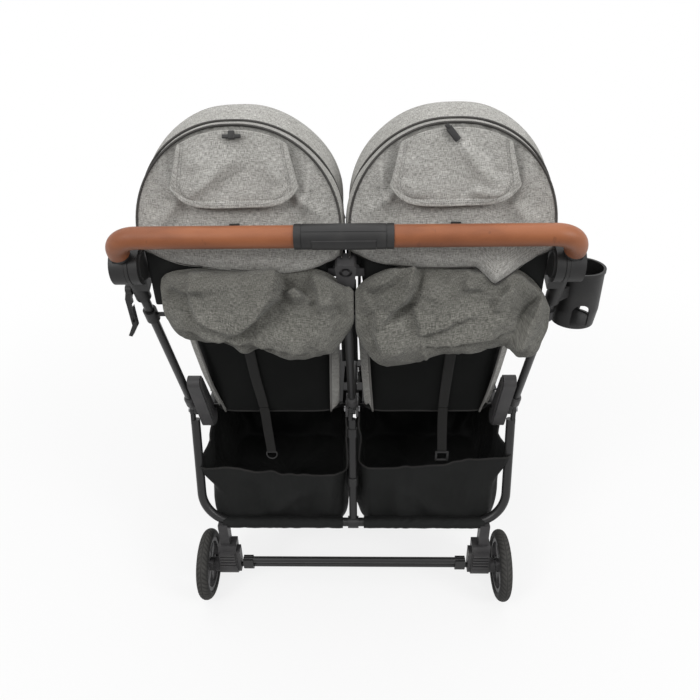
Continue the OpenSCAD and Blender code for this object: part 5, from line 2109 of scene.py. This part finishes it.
@dataclass
class Wheel:
    """A tyre with diagonal tread grooves and, on the front casters, its spoked rim."""

    side: Side
    word: str
    middle: Tuple[float, float, float]
    diameter: float
    width: float
    seat: float
    grooves: int
    rim: bool
    groove_depth: float = 0.0016
    spokes: int = 6

    def build(self) -> None:
        """Makes the tyre and, where asked, the rim."""
        self.tyre()
        if self.rim:
            self.spoked_rim()

    def place(self) -> Matrix:
        """The axle as a place whose Z points outwards."""
        turn = Matrix.Rotation(self.side.value * math.pi / 2, 4, "Y")
        return Matrix.Translation(self.side.point(*self.middle)) @ turn

    def tyre(self) -> None:
        """Round tyre, pressed in along its grooves and paler on its worn tread."""
        r, w = self.diameter / 2, self.width / 2
        crown = [(r - w + w * math.cos(a), w * math.sin(a))
                 for a in (math.radians(lerp(-86.0, 86.0, i / 26)) for i in range(27))]
        outline = [(self.seat, -w + 0.002), *crown, (self.seat, w - 0.002)]
        shape, place = Shape(), self.place()
        verts = shape.turned(outline, place, 264)
        back = place.inverted()
        for vert in verts:
            p = back @ vert.co
            across, reach, angle = p.z / w, math.hypot(p.x, p.y), math.atan2(p.y, p.x)
            tread = 1.0 - ease(0.80, 0.98, abs(across))
            phase = angle * self.grooves / (2.0 * math.pi) + abs(across) * 1.3
            groove = hill((phase % 1.0) - 0.5, 0.0, 0.16) * ease(0.12, 0.22, abs(across))
            groove = max(groove, hill(across, 0.0, 0.05))
            depth = self.groove_depth * tread * groove
            share = (reach - depth) / reach if reach > self.seat + 0.004 else 1.0
            vert[shape.wear] = tread * (1.0 - groove) * ease(r - 0.012, r, reach)
            vert.co = place @ Vector((p.x * share, p.y * share, p.z))
        piece = shape.closed().piece(f"{self.word}_tread_{self.side.word}", RUBBER)
        body = f"{self.word}_wheel_{self.side.word}"
        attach(piece, body)
        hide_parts(f"rear_tyre_{self.side.word}" if self.word == "rear" else body)

    def spoked_rim(self) -> None:
        """Rim ring, hub and spokes."""
        shape, place = Shape(), self.place()
        w = self.width / 2
        inner, half = self.seat - 0.009, w - 0.004
        ring = [(inner, -half), (self.seat, -half), (self.seat, half), (inner, half)]
        hub = [(0.0042, -w - 0.0004), (0.015, -w - 0.0004), (0.016, -w + 0.001), (0.016, w - 0.001),
               (0.015, w + 0.0004), (0.0042, w + 0.0004)]
        shape.turned(ring, place, 72)
        shape.turned(hub, place, 48)
        for i in range(self.spokes):
            turn = place @ Matrix.Rotation(i * 2.0 * math.pi / self.spokes, 4, "Z")
            middle = Matrix.Translation(((self.seat + 0.008) / 2.0 + 0.001, 0.0, 0.0))
            shape.block((self.seat - 0.022, 0.014, 0.010), turn @ middle, 0.0025)
        piece = shape.closed().piece(f"{self.word}_spokes_{self.side.word}", DARK_PLASTIC)
        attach(piece, f"{self.word}_wheel_{self.side.word}")


@dataclass
class GripSeam:
    """Stitched seam under each leatherette grip."""

    side: Side
    bar: Tuple[float, float] = (-0.165, 0.973)
    radius: float = 0.017
    reach: Tuple[float, float] = (0.080, 0.306)
    down: float = -62.0
    stretches: int = 64

    def build(self) -> None:
        """Makes a lapped edge and its row of stitches."""
        a = math.radians(self.down)
        out = Vector((0.0, math.cos(a), math.sin(a)))
        rows, lap = Shape(), Shape()
        xs = [lerp(*self.reach, i / self.stretches) for i in range(self.stretches + 1)]
        middle = [self.side.point(x, *self.bar) for x in xs]
        lap.tube([p + out * (self.radius - 0.0002) for p in middle], 0.0007, 8)
        for turn in (-9.0, 9.0):
            side_a = math.radians(self.down + turn)
            side_out = Vector((0.0, math.cos(side_a), math.sin(side_a)))
            rows.stitches([p + side_out * (self.radius + 0.0001) for p in middle], 0.68, 0.0005)
        for shape, word, finish in ((lap, "grip_lap", TAN), (rows, "grip_stitches", TAN_THREAD)):
            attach(shape.closed().piece(f"{word}_{self.side.word}", finish), "handle")


def main() -> None:
    """Builds the studio, then dresses the frame from the canopies down to the wheels."""
    logging.basicConfig(level=logging.INFO, format="%(name)s %(message)s")
    noise.seed_set(NOISE_SEED)
    Studio().build()
    HardParts().build()
    for side, seed in ((Side.LEFT, 1.7), (Side.RIGHT, 6.3)):
        Canopy(side, seed).build()
        Curtain(side, seed + 2.0).build()
        Basket(side, seed + 3.0).build()
        GripSeam(side).build()
        Wheel(side, "rear", (0.348, 0.0, 0.0825), 0.165, 0.028, 0.0626, 44, False).build()
        Wheel(side, "front", (0.300, 0.548, 0.075), 0.150, 0.026, 0.0571, 40, True).build()
    Seats().build()


if __name__ == "__main__":
    main()
